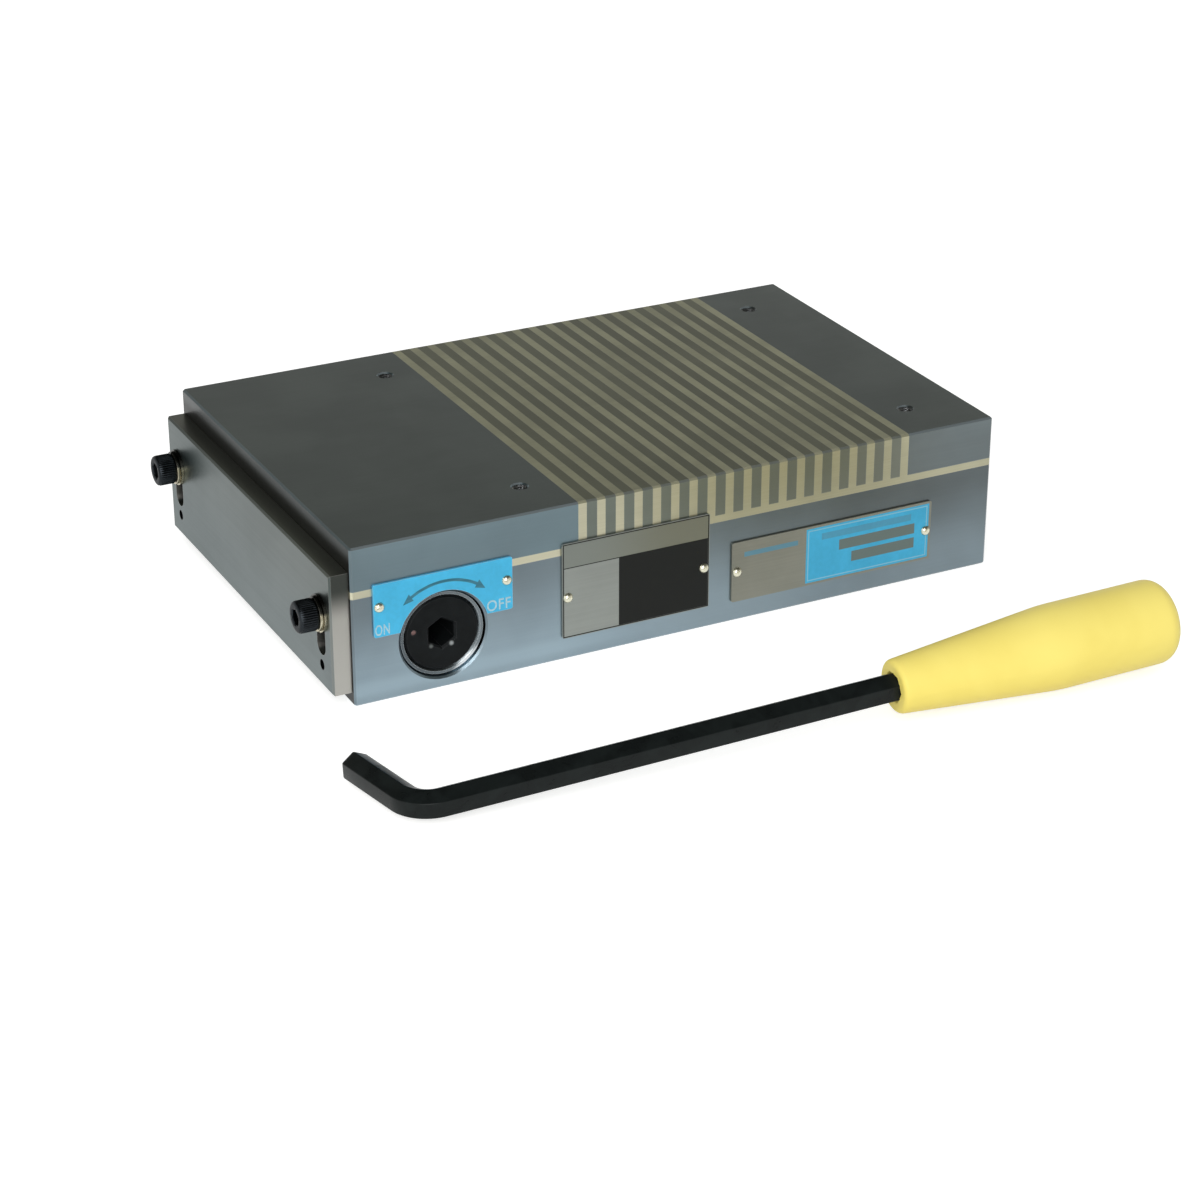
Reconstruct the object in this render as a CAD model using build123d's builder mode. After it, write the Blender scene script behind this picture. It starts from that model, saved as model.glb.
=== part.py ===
from build123d import *
import os
from math import acos, asin, cos, degrees, radians, sin, sqrt

# A rectangular permanent magnetic chuck with its loose hex lever lying in front of it.
# Millimetres. The origin is the centre of the chuck's underside, +X runs along its long side,
# the front face with the drive and the plates looks to -Y, and +Z is up.
# Everything stands as in the photograph: switched on, stop plate down, lever on the bench.

# Chuck body, a ground block in three layers.
chuck_length = 190.0
chuck_width = 120.0
housing_height = 30.0
spacer_thickness = 2.0
pole_plate_thickness = 12.0
body_chamfer = 0.5

# Pole plate: steel laminations and brass separators set across the chuck, between two solid ends.
# The right end takes up what is left over by a whole number of laminations.
left_end_length = 63.5
right_end_length = 26.9
lamination_thickness = 3.0
separator_thickness = 2.4

# Tapped holes in the work face for locating stops.
locating_thread_dia = 4.0
locating_hole_depth = 9.0
locating_hole_to_field = 8.9
locating_hole_to_edge = 16.2
locating_hole_chamfer = 0.4

# Clearances.
running_clearance = 0.05
slide_clearance = 0.2
thread_clearance = 0.05
bolt_clearance = 0.25
contact_gap = 0.02
cut_margin = 1.0

# Magnet well and the carriage that slides in it.
well_floor = 5.0
well_side_wall = 12.0
well_end_gap = 1.2
well_corner_radius = 6.0
guide_thickness = 2.0
guide_end_gap = 5.0
carriage_left_bar = 6.0
carriage_right_bar = 4.0
carriage_side_bar = 3.8
carriage_base_thickness = 3.0
carriage_corner_radius = 5.0
magnet_recess = 1.0

# Drive shaft, its bushes and its eccentric. The front bush fills the housing's height but for an
# equal web above and below it, and each diameter further in follows from the walls and shoulders.
# Bush and head stand a little behind the front face.
shaft_to_left_end = 25.0
bush_web = 3.0
front_bush_wall = 1.75
head_recess = 1.0
head_length = 13.0
head_chamfer = 0.4
shaft_shoulder = 2.2
tail_shoulder = 0.15
tail_bush_wall = 1.95
tail_bush_length = 12.0
bush_chamfer = 0.5
drive_well_wall = 22.0
drive_well_cheek_gap = 1.5
socket_fit = 0.1
socket_depth = 12.0
socket_chamfer = 0.5
index_to_rim = 2.2
index_angle = 168.0
index_dia = 1.5
index_depth = 0.3

# Seal and end stop in the shaft's head, measured back from the front face.
stop_groove_back = 5.5
stop_groove_depth = 2.5
dog_dia = 3.8
dog_clearance = 0.2
stop_screw_dia = 5.0
stop_screw_recess = 0.6
stop_screw_hex = 2.5
stop_screw_hex_depth = 2.0
seal_back = 10.8
seal_section = 1.8
seal_fit = 0.05

# Roller on the eccentric journal and the fork that it pushes.
roller_floor_gap = 0.5
roller_wall = 1.95
roller_width = 14.0
roller_side_gap = 0.2
fork_roller_gap = 0.35
fork_cheek = 4.0
fork_width = 13.0
fork_top_to_spacer = 5.0
fork_base_thickness = 1.8
fork_flange_width = 36.0
fork_flange_thickness = 6.0
fork_screw_spacing = 24.0
clip_thickness = 1.0
clip_width = 1.75
clip_groove_depth = 0.5
journal_tail_land = 1.0

# Socket head cap screws: M5 for the body and the stop plate, M4 in the carriage.
m5_dia = 5.0
m5_head_dia = 8.5
m5_head_height = 5.0
m5_hex = 4.0
m5_hex_depth = 2.5
m4_dia = 4.0
m4_head_dia = 7.0
m4_head_height = 4.0
m4_hex = 3.0
m4_hex_depth = 2.0
body_screw_top_web = 3.0
body_screw_sink = 0.4
counterbore_clearance = 0.5
corner_screw_to_left_end = 6.5
corner_screw_to_drive_well = 6.0
middle_screw_to_left_end = 49.0
right_screw_to_right_end = 9.0
body_screw_to_side = 10.0

# Side stop plate on the left end, held through two slots.
stop_plate_inset = 1.25
stop_plate_height = 33.5
stop_plate_thickness = 5.2
stop_plate_bottom = 3.6
stop_plate_gap = 0.05
stop_plate_chamfer = 0.5
stop_bolt_to_side = 8.0
stop_bolt_to_spacer = 5.6
stop_bolt_length = 16.0
stop_bolt_tip_gap = 1.5
slot_low_z = 15.4
pin_hole_dia = 2.8
pin_hole_below_slot = 2.9
flat_washer_dia = 10.0
flat_washer_thickness = 0.7
spring_washer_dia = 9.2
spring_washer_thickness = 1.0
spring_washer_split = 1.0

# Plates riveted to the front face, each size a width and a height. The rating plate reaches from
# its gap beside the middle plate to its margin at the right end.
plate_thickness = 0.6
plate_corner = 0.6
switch_plate_size = (38.6, 14.7)
switch_plate_to_spacer = 4.25
switch_plate_bush_gap = 0.6
middle_plate_size = (43.3, 27.0)
middle_plate_gap = 14.2
middle_plate_to_spacer = 10.2
rating_plate_height = 17.3
rating_plate_gap = 6.9
rating_plate_margin = 19.0
rating_plate_z = 14.5
rivet_inset = 1.6
rivet_head_dia = 2.8
rivet_head_height = 0.9
rivet_shank_dia = 1.8
rivet_shank_length = 5.0
rivet_fit = 0.02
rivet_tip_gap = 0.2
rivet_crown_angle = 50.0
switch_rivet_rise = 1.0
middle_rivet_rise = -1.9

# Hex lever lying on the bench.
lever_across_flats = 7.0
lever_corner_x = -104.7
lever_corner_y = -121.1
lever_yaw = -2.95
leg_yaw = 101.1
leg_length = 27.3
lever_bend_radius = 8.0
lever_tip_chamfer = 0.7
grip_start = 127.5
grip_cone_length = 45.0
grip_barrel_length = 33.5
grip_radius = 11.2
grip_nose_radius = 7.0
grip_nose_round = 1.5
grip_end_round = 4.5
grip_end_dome = 2.0
grip_shoulder_round = 60.0
grip_socket_depth = 52.0
grip_socket_fit = 0.05

# Values that follow from the ones above.
front_y = -chuck_width / 2
left_x = -chuck_length / 2
right_x = chuck_length / 2
spacer_top = housing_height + spacer_thickness
chuck_height = spacer_top + pole_plate_thickness
pole_pitch = lamination_thickness + separator_thickness
pole_field_room = chuck_length - left_end_length - right_end_length
lamination_count = round((pole_field_room - separator_thickness) / pole_pitch)
separator_count = lamination_count + 1
pole_field_length = lamination_count * pole_pitch + separator_thickness
pole_field_left = left_x + left_end_length
pole_field_right = pole_field_left + pole_field_length
pole_field_x = (pole_field_left + pole_field_right) / 2
throw = pole_pitch / 4
carriage_travel = 2 * throw
locating_spacing_x = pole_field_length + 2 * locating_hole_to_field
locating_spacing_y = chuck_width - 2 * locating_hole_to_edge

carriage_left = pole_field_left - carriage_left_bar
carriage_right = pole_field_right + carriage_right_bar
carriage_bottom = well_floor + slide_clearance
carriage_top = spacer_top - slide_clearance
well_half_width = chuck_width / 2 - well_side_wall
carriage_half_width = well_half_width - guide_thickness - slide_clearance
magnet_half_width = carriage_half_width - carriage_side_bar
magnet_bottom = carriage_bottom + carriage_base_thickness
well_left = carriage_left - well_end_gap
well_right = carriage_right + carriage_travel + well_end_gap
window_half_width = carriage_half_width + slide_clearance

front_bush_outer_dia = housing_height - 2 * bush_web
shaft_x = left_x + shaft_to_left_end
shaft_z = bush_web + front_bush_outer_dia / 2
head_dia = front_bush_outer_dia - 2 * (front_bush_wall + running_clearance)
shaft_dia = head_dia - 2 * shaft_shoulder
socket_across_flats = lever_across_flats + socket_fit
index_radius = head_dia / 2 - index_to_rim

roller_x = shaft_x - throw
fork_bottom = carriage_bottom
fork_top = housing_height - fork_top_to_spacer
fork_slot_bottom = fork_bottom + fork_base_thickness
roller_outer_dia = 2 * (shaft_z - fork_slot_bottom - roller_floor_gap)
journal_dia = roller_outer_dia - 2 * (roller_wall + running_clearance)
clip_outer_dia = journal_dia + 2 * clip_width
tail_dia = journal_dia - 2 * (throw + tail_shoulder)
tail_bush_outer_dia = tail_dia + 2 * (tail_bush_wall + running_clearance)
fork_slot = roller_outer_dia + 2 * fork_roller_gap
fork_left = roller_x - fork_slot / 2 - fork_cheek
drive_well_left = fork_left - drive_well_cheek_gap
drive_well_half_width = chuck_width / 2 - drive_well_wall

head_front = front_y + head_recess
head_back = head_front + head_length
head_bore_dia = head_dia + 2 * running_clearance
shoulder_y = -roller_width / 2 - roller_side_gap
clip_y = roller_width / 2 + roller_side_gap
journal_end = clip_y + clip_thickness + journal_tail_land
tail_bush_start = drive_well_half_width
tail_end = tail_bush_start + tail_bush_length - running_clearance
stop_groove_y = front_y + stop_groove_back
stop_groove_width = dog_dia + 2 * dog_clearance
seal_y = front_y + seal_back

body_screw_thread = pole_plate_thickness - body_screw_top_web
body_screw_y = chuck_width / 2 - body_screw_to_side
body_screw_places = (
    (left_x + corner_screw_to_left_end, drive_well_half_width + corner_screw_to_drive_well),
    (left_x + middle_screw_to_left_end, body_screw_y),
    (right_x - right_screw_to_right_end, body_screw_y),
)

stop_plate_length = chuck_width - 2 * stop_plate_inset
stop_bolt_y = chuck_width / 2 - stop_bolt_to_side
stop_bolt_z = housing_height - stop_bolt_to_spacer
stop_plate_travel = stop_bolt_z - slot_low_z
stop_plate_back = left_x - stop_plate_gap
stop_plate_front = stop_plate_back - stop_plate_thickness
washer_seat = stop_plate_front - stop_plate_gap
bolt_head_seat = washer_seat - flat_washer_thickness - spring_washer_thickness
stop_bolt_hole_depth = bolt_head_seat + stop_bolt_length + stop_bolt_tip_gap - left_x
slot_width = m5_dia + 2 * bolt_clearance
pin_hole_z = slot_low_z - slot_width / 2 - pin_hole_below_slot

switch_plate_centre = (shaft_x, housing_height - switch_plate_to_spacer)
middle_plate_left = switch_plate_centre[0] + switch_plate_size[0] / 2 + middle_plate_gap
middle_plate_centre = (middle_plate_left + middle_plate_size[0] / 2,
                        housing_height - middle_plate_to_spacer)
rating_plate_left = middle_plate_left + middle_plate_size[0] + rating_plate_gap
rating_plate_right = right_x - rating_plate_margin
rating_plate_size = (rating_plate_right - rating_plate_left, rating_plate_height)
rating_plate_centre = ((rating_plate_left + rating_plate_right) / 2, rating_plate_z)

grip_shoulder = grip_start + grip_cone_length
grip_end = grip_shoulder + grip_barrel_length
grip_tip = grip_end + grip_end_dome


def along_y(y):
    """Plane across the Y axis at y, drawn with X to the right and Z up, as seen from the front."""
    return Plane.XZ.offset(-y)


def hexagon(across_flats, rotation=0.0):
    """Hexagon with the given width across its flats, one corner on the sketch's own X axis."""
    RegularPolygon(across_flats / 2, 6, major_radius=False, rotation=rotation)


def write(piece, name):
    """Names a finished piece and writes it as its own file."""
    piece.part.label = name
    export_step(piece.part, f"parts/{name}.step")


def body_screw_points():
    """The places of the body screws: each listed place and its mirror image."""
    return [(x, side * y) for x, y in body_screw_places for side in (-1, 1)]


os.makedirs("parts", exist_ok=True)

# Housing: a solid block with the magnet well and the drive well milled from above. The walls
# beside the drive well stay thick, because they carry the shaft's two bushes.
with BuildPart() as base_housing:
    with BuildSketch(Plane.XY):
        Rectangle(chuck_length, chuck_width)
    extrude(amount=housing_height)
    chamfer(base_housing.edges().filter_by(Axis.Z), body_chamfer)
    chamfer(base_housing.edges().group_by(Axis.Z)[0], body_chamfer)
    with BuildSketch(Plane.XY.offset(well_floor)):
        with Locations(((well_left + well_right) / 2, 0)):
            RectangleRounded(well_right - well_left, 2 * well_half_width, well_corner_radius)
    extrude(amount=housing_height - well_floor, mode=Mode.SUBTRACT)
    with BuildSketch(Plane.XY.offset(well_floor)):
        with Locations(((drive_well_left + well_left + 2 * well_corner_radius) / 2, 0)):
            drive_well_reach = well_left + 2 * well_corner_radius - drive_well_left
            RectangleRounded(drive_well_reach, 2 * drive_well_half_width, well_corner_radius)
    extrude(amount=housing_height - well_floor, mode=Mode.SUBTRACT)
    with BuildSketch(along_y(front_y)):
        with Locations((shaft_x, shaft_z)):
            Circle(front_bush_outer_dia / 2 + contact_gap)
    extrude(amount=-drive_well_wall, mode=Mode.SUBTRACT)
    chamfer(base_housing.edges().filter_by(GeomType.CIRCLE).group_by(Axis.Y)[0], bush_chamfer)
    with BuildSketch(along_y(tail_bush_start)):
        with Locations((shaft_x, shaft_z)):
            Circle(tail_bush_outer_dia / 2 + contact_gap)
    extrude(amount=-tail_bush_length, mode=Mode.SUBTRACT)
    with BuildSketch(Plane.XY):
        with Locations((shaft_x, stop_groove_y)):
            Circle(stop_screw_dia / 2 + thread_clearance)
    extrude(amount=bush_web + cut_margin, mode=Mode.SUBTRACT)
    counterbore_radius = m5_head_dia / 2 + counterbore_clearance
    with Locations(Plane.XY.rotated((180, 0, 0))):
        with Locations(body_screw_points()):
            CounterBoreHole(m5_dia / 2 + bolt_clearance, counterbore_radius,
                            m5_head_height + body_screw_sink)
    with BuildSketch(Plane.YZ.offset(left_x)):
        with Locations((-stop_bolt_y, stop_bolt_z), (stop_bolt_y, stop_bolt_z)):
            Circle(m5_dia / 2 + thread_clearance)
    extrude(amount=stop_bolt_hole_depth, mode=Mode.SUBTRACT)
    rivet_points = []
    for size, centre, rise in (
        (switch_plate_size, switch_plate_centre, switch_rivet_rise),
        (middle_plate_size, middle_plate_centre, middle_rivet_rise),
        (rating_plate_size, rating_plate_centre, 0.0),
    ):
        reach = size[0] / 2 - rivet_inset
        rivet_points.append((centre[0] - reach, centre[1] + rise))
        rivet_points.append((centre[0] + reach, centre[1] + rise))
    with BuildSketch(along_y(front_y)):
        with Locations(rivet_points):
            Circle(rivet_shank_dia / 2 + rivet_fit)
    extrude(amount=-rivet_shank_length, mode=Mode.SUBTRACT)
write(base_housing, "base_housing")

# Brass spacer: a flat frame between housing and pole plate that keeps the flux out of the housing.
# Its window lets the carriage reach the pole plate and its edge holds the guide strips down.
with BuildPart() as brass_spacer:
    with BuildSketch(Plane.XY.offset(housing_height)):
        Rectangle(chuck_length, chuck_width)
        with Locations(((well_left + well_right) / 2, 0)):
            RectangleRounded(well_right - well_left, 2 * window_half_width, well_corner_radius,
                             mode=Mode.SUBTRACT)
        with Locations(body_screw_points()):
            Circle(m5_dia / 2 + bolt_clearance, mode=Mode.SUBTRACT)
    extrude(amount=spacer_thickness)
    chamfer(brass_spacer.edges().filter_by(Axis.Z).filter_by(GeomType.LINE).group_by(
        SortBy.DISTANCE)[-1], body_chamfer)
write(brass_spacer, "brass_spacer")


def pole_block(x_from, x_to):
    """One solid steel end of the pole plate, with its tapped holes below and in the work face."""
    inside = [p for p in body_screw_points() if x_from < p[0] < x_to]
    locating = [(pole_field_x + sx * locating_spacing_x / 2, sy * locating_spacing_y / 2)
                for sx in (-1, 1) for sy in (-1, 1)]
    with BuildPart() as block:
        with BuildSketch(Plane.XY.offset(spacer_top)):
            with Locations(((x_from + x_to) / 2, 0)):
                Rectangle(x_to - x_from, chuck_width)
        extrude(amount=pole_plate_thickness)
        outer_end = block.faces().sort_by(lambda face: abs(face.center().X))[-1]
        chamfer(outer_end.edges().filter_by(Axis.Z), body_chamfer)
        top_edges = block.faces().sort_by(Axis.Z)[-1].edges()
        seam_x = x_to if x_from == left_x else x_from
        chamfer([e for e in top_edges if abs(e.center().X - seam_x) > body_chamfer], body_chamfer)
        with BuildSketch(Plane.XY.offset(spacer_top)):
            with Locations(inside):
                Circle(m5_dia / 2 + thread_clearance)
        extrude(amount=body_screw_thread + cut_margin, mode=Mode.SUBTRACT)
        with BuildSketch(Plane.XY.offset(chuck_height)):
            with Locations([p for p in locating if x_from < p[0] < x_to]):
                Circle(locating_thread_dia / 2)
        extrude(amount=-locating_hole_depth, mode=Mode.SUBTRACT)
        mouths = block.edges().filter_by(GeomType.CIRCLE).group_by(Axis.Z)[-1]
        chamfer(mouths, locating_hole_chamfer)
    return block


left_pole_block = pole_block(left_x, pole_field_left)
write(left_pole_block, "left_pole_block")
right_pole_block = pole_block(pole_field_right, right_x)
write(right_pole_block, "right_pole_block")

# Steel laminations and brass separators of the pole plate, standing side by side across the chuck.
with BuildPart() as pole_laminations:
    with BuildSketch(Plane.XY.offset(spacer_top)):
        with Locations((pole_field_x, 0)):
            with GridLocations(pole_pitch, 1, lamination_count, 1):
                Rectangle(lamination_thickness, chuck_width)
    extrude(amount=pole_plate_thickness)
    chamfer(pole_laminations.edges().filter_by(Axis.X).group_by(Axis.Z)[-1], body_chamfer)
write(pole_laminations, "pole_laminations")

with BuildPart() as brass_separators:
    with BuildSketch(Plane.XY.offset(spacer_top)):
        with Locations((pole_field_x, 0)):
            with GridLocations(pole_pitch, 1, separator_count, 1):
                Rectangle(separator_thickness, chuck_width)
    extrude(amount=pole_plate_thickness)
    chamfer(brass_separators.edges().filter_by(Axis.X).group_by(Axis.Z)[-1], body_chamfer)
write(brass_separators, "brass_separators")

# Guide strips: two brass liners on the long walls of the magnet well.
guide_length = well_right - well_left - 2 * well_corner_radius - 2 * guide_end_gap
guide_height = housing_height - well_floor
with BuildPart() as guide_strips:
    for side in (-1, 1):
        with BuildSketch(Plane.XY.offset(well_floor)):
            with Locations(((well_left + well_right) / 2,
                            side * (well_half_width - guide_thickness / 2))):
                Rectangle(guide_length, guide_thickness)
        extrude(amount=guide_height)
write(guide_strips, "guide_strips")

# Carriage frame: a brass tray that holds the pole pieces and magnets edge to edge. Its left bar
# is tapped for the fork's two screws.
fork_screw_z = shaft_z
with BuildPart() as carriage_frame:
    with BuildSketch(Plane.XY.offset(carriage_bottom)):
        with Locations(((carriage_left + carriage_right) / 2, 0)):
            RectangleRounded(carriage_right - carriage_left, 2 * carriage_half_width,
                             carriage_corner_radius)
    extrude(amount=carriage_top - carriage_bottom)
    with BuildSketch(Plane.XY.offset(magnet_bottom)):
        with Locations((pole_field_x, 0)):
            Rectangle(pole_field_length, 2 * magnet_half_width)
    extrude(amount=carriage_top - magnet_bottom, mode=Mode.SUBTRACT)
    with BuildSketch(Plane.YZ.offset(carriage_left)):
        with Locations((-fork_screw_spacing / 2, fork_screw_z),
                       (fork_screw_spacing / 2, fork_screw_z)):
            Circle(m4_dia / 2 + thread_clearance)
    extrude(amount=carriage_left_bar, mode=Mode.SUBTRACT)
write(carriage_frame, "carriage_frame")

# Carriage pole pieces stand under the laminations when the chuck is on, magnets under the brass.
# The magnets are a little lower, so that only the pole pieces reach up to the pole plate.
with BuildPart() as carriage_poles:
    with BuildSketch(Plane.XY.offset(magnet_bottom)):
        with Locations((pole_field_x, 0)):
            with GridLocations(pole_pitch, 1, lamination_count, 1):
                Rectangle(lamination_thickness, 2 * magnet_half_width)
    extrude(amount=carriage_top - magnet_bottom)
write(carriage_poles, "carriage_poles")

with BuildPart() as magnets:
    with BuildSketch(Plane.XY.offset(magnet_bottom)):
        with Locations((pole_field_x, 0)):
            with GridLocations(pole_pitch, 1, separator_count, 1):
                Rectangle(separator_thickness, 2 * magnet_half_width)
    extrude(amount=carriage_top - magnet_recess - magnet_bottom)
write(magnets, "magnets")

# Drive fork: a steel slipper with an upright slot that the roller turns in, on a bolted flange.
with BuildPart() as drive_fork:
    with BuildSketch(Plane.XY.offset(fork_bottom)):
        with Locations(((fork_left + carriage_left) / 2, 0)):
            Rectangle(carriage_left - fork_left, fork_width)
        with Locations((carriage_left - fork_flange_thickness / 2, 0)):
            Rectangle(fork_flange_thickness, fork_flange_width)
    extrude(amount=fork_top - fork_bottom)
    with BuildSketch(along_y(-fork_width / 2)):
        with Locations((roller_x, (fork_slot_bottom + fork_top) / 2)):
            Rectangle(fork_slot, fork_top - fork_slot_bottom)
    extrude(amount=-fork_width, mode=Mode.SUBTRACT)
    with BuildSketch(Plane.YZ.offset(carriage_left)):
        with Locations((-fork_screw_spacing / 2, fork_screw_z),
                       (fork_screw_spacing / 2, fork_screw_z)):
            Circle(m4_dia / 2 + bolt_clearance)
    extrude(amount=-fork_flange_thickness, mode=Mode.SUBTRACT)
write(drive_fork, "drive_fork")


def cap_screws(placements, dia, head_dia, head_height, hex_size, hex_depth, length):
    """Socket head cap screws: each placement is a plane at the underside of the head, and the
    shank runs along the plane's own Z."""
    with BuildPart() as screws:
        for seat in placements:
            with BuildSketch(seat):
                Circle(dia / 2)
            extrude(amount=length)
            with BuildSketch(seat):
                Circle(head_dia / 2)
            extrude(amount=-head_height)
            with BuildSketch(seat.offset(-head_height)):
                hexagon(hex_size)
            extrude(amount=hex_depth, mode=Mode.SUBTRACT)
    return screws


fork_seat_x = carriage_left - fork_flange_thickness
fork_seats = [Plane((fork_seat_x, side * fork_screw_spacing / 2, fork_screw_z),
                    x_dir=(0, 1, 0), z_dir=(1, 0, 0)) for side in (-1, 1)]
fork_screw_length = fork_flange_thickness + carriage_left_bar - 2 * thread_clearance
fork_screws = cap_screws(fork_seats, m4_dia, m4_head_dia, m4_head_height, m4_hex, m4_hex_depth,
                         fork_screw_length)
write(fork_screws, "fork_screws")

# Body screws run up from counterbores in the underside into the pole blocks.
body_seat_z = body_screw_sink + m5_head_height
body_seats = [Plane((x, y, body_seat_z), x_dir=(1, 0, 0), z_dir=(0, 0, 1))
              for x, y in body_screw_points()]
body_screws = cap_screws(body_seats, m5_dia, m5_head_dia, m5_head_height, m5_hex, m5_hex_depth,
                         spacer_top + body_screw_thread - body_seat_z)
write(body_screws, "body_screws")

# Front bush: a steel sleeve in the front wall. The wide bore carries the head, the narrow one
# the shaft, and the step between them takes the shaft's push.
with BuildPart() as front_bush:
    with BuildSketch(along_y(head_front)):
        with Locations((shaft_x, shaft_z)):
            Circle(front_bush_outer_dia / 2)
            Circle(shaft_dia / 2 + running_clearance, mode=Mode.SUBTRACT)
    extrude(amount=-(drive_well_wall - head_recess))
    with BuildSketch(along_y(head_front)):
        with Locations((shaft_x, shaft_z)):
            Circle(head_bore_dia / 2)
    extrude(amount=-head_length - running_clearance, mode=Mode.SUBTRACT)
    front_rims = front_bush.edges().filter_by(GeomType.CIRCLE).group_by(Axis.Y)[0]
    chamfer(front_rims, bush_chamfer)
    with BuildSketch(Plane.XY.offset(bush_web)):
        with Locations((shaft_x, stop_groove_y)):
            Circle(dog_dia / 2 + dog_clearance)
    extrude(amount=(front_bush_outer_dia - head_bore_dia) / 2 + cut_margin, mode=Mode.SUBTRACT)
write(front_bush, "front_bush")

with BuildPart() as tail_bush:
    with BuildSketch(along_y(tail_bush_start)):
        with Locations((shaft_x, shaft_z)):
            Circle(tail_bush_outer_dia / 2)
            Circle(tail_dia / 2 + running_clearance, mode=Mode.SUBTRACT)
    extrude(amount=-tail_bush_length)
write(tail_bush, "tail_bush")

# Drive shaft: head with the hex socket, seal groove and half-turn stop groove, then the shaft, the
# eccentric journal, and the tail. It sits at its on stop, with the eccentric to the left.
with BuildPart() as drive_shaft:
    with BuildSketch(along_y(head_front)):
        with Locations((shaft_x, shaft_z)):
            Circle(head_dia / 2)
    extrude(amount=-head_length)
    chamfer(drive_shaft.edges().group_by(Axis.Y)[0], head_chamfer)
    with BuildSketch(along_y(head_back)):
        with Locations((shaft_x, shaft_z)):
            Circle(shaft_dia / 2)
    extrude(amount=-(shoulder_y - head_back))
    with BuildSketch(along_y(shoulder_y)):
        with Locations((roller_x, shaft_z)):
            Circle(journal_dia / 2)
    extrude(amount=-(journal_end - shoulder_y))
    with BuildSketch(along_y(journal_end)):
        with Locations((shaft_x, shaft_z)):
            Circle(tail_dia / 2)
    extrude(amount=-(tail_end - journal_end))
    with BuildSketch(along_y(clip_y)):
        with Locations((roller_x, shaft_z)):
            Circle(journal_dia / 2 + cut_margin)
            Circle(journal_dia / 2 - clip_groove_depth, mode=Mode.SUBTRACT)
    extrude(amount=-clip_thickness, mode=Mode.SUBTRACT)
    seal_groove_depth = seal_section + 2 * seal_fit
    with BuildSketch(along_y(seal_y - seal_groove_depth / 2)):
        with Locations((shaft_x, shaft_z)):
            Circle(head_dia / 2 + cut_margin)
            Circle(head_dia / 2 - seal_groove_depth, mode=Mode.SUBTRACT)
    extrude(amount=-seal_groove_depth, mode=Mode.SUBTRACT)
    # The stop groove runs from 6 o'clock over 3 o'clock to 12 o'clock, with round ends.
    shaft_axis = Axis((shaft_x, 0, shaft_z), (0, 1, 0))
    with BuildSketch(Plane.YZ.offset(shaft_x)):
        with Locations((stop_groove_y, shaft_z - head_dia / 2)):
            Rectangle(stop_groove_width, 2 * stop_groove_depth)
    revolve(axis=shaft_axis, revolution_arc=-180, mode=Mode.SUBTRACT)
    for groove_end in (-1, 1):
        with BuildSketch(Plane.XY.offset(shaft_z + groove_end * head_dia / 2)):
            with Locations((shaft_x, stop_groove_y)):
                Circle(stop_groove_width / 2)
        extrude(amount=-groove_end * stop_groove_depth, mode=Mode.SUBTRACT)
    with BuildSketch(along_y(head_front)):
        with Locations((shaft_x, shaft_z)):
            hexagon(socket_across_flats, 90)
    extrude(amount=-socket_depth, mode=Mode.SUBTRACT)
    mouth = drive_shaft.edges().filter_by(GeomType.LINE).group_by(Axis.Y)[0]
    chamfer(mouth, socket_chamfer)
    index_x = shaft_x + index_radius * cos(radians(index_angle))
    index_z = shaft_z + index_radius * sin(radians(index_angle))
    with BuildSketch(along_y(head_front)):
        with Locations((index_x, index_z)):
            Circle(index_dia / 2)
    extrude(amount=-index_depth, mode=Mode.SUBTRACT)
write(drive_shaft, "drive_shaft")

# Seal ring in the head's groove, square in section.
seal_radius = (head_dia - seal_section) / 2 - seal_fit
with BuildPart() as shaft_seal:
    with BuildSketch(Plane.YZ.offset(shaft_x)):
        with Locations((seal_y, shaft_z + seal_radius)):
            Rectangle(seal_section, seal_section)
    revolve(axis=Axis((shaft_x, 0, shaft_z), (0, 1, 0)))
write(shaft_seal, "shaft_seal")

# Stop screw: a dog point screw in the underside whose tip rides in the shaft's half-turn groove.
dog_tip_z = shaft_z - head_dia / 2 + stop_groove_depth - dog_clearance
with BuildPart() as stop_screw:
    with BuildSketch(Plane.XY.offset(stop_screw_recess)):
        with Locations((shaft_x, stop_groove_y)):
            Circle(stop_screw_dia / 2)
    extrude(amount=bush_web - stop_screw_recess - contact_gap)
    with BuildSketch(Plane.XY.offset(stop_screw_recess)):
        with Locations((shaft_x, stop_groove_y)):
            Circle(dog_dia / 2)
    extrude(amount=dog_tip_z - stop_screw_recess)
    with BuildSketch(Plane.XY.offset(stop_screw_recess)):
        with Locations((shaft_x, stop_groove_y)):
            hexagon(stop_screw_hex)
    extrude(amount=stop_screw_hex_depth, mode=Mode.SUBTRACT)
write(stop_screw, "stop_screw")

# Roller on the eccentric journal, and the clip that keeps it there.
with BuildPart() as cam_roller:
    with BuildSketch(along_y(-roller_width / 2)):
        with Locations((roller_x, shaft_z)):
            Circle(roller_outer_dia / 2)
            Circle(journal_dia / 2 + running_clearance, mode=Mode.SUBTRACT)
    extrude(amount=-roller_width)
    chamfer(cam_roller.edges().filter_by(GeomType.CIRCLE), bush_chamfer)
write(cam_roller, "cam_roller")

with BuildPart() as roller_clip:
    with BuildSketch(along_y(clip_y + contact_gap)):
        with Locations((roller_x, shaft_z)):
            Circle(clip_outer_dia / 2)
            Circle(journal_dia / 2 - clip_groove_depth + contact_gap, mode=Mode.SUBTRACT)
        with Locations((roller_x, shaft_z - clip_outer_dia / 2)):
            Rectangle(journal_dia / 2, clip_outer_dia / 2, mode=Mode.SUBTRACT)
    extrude(amount=-(clip_thickness - 2 * contact_gap))
write(roller_clip, "roller_clip")

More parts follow.
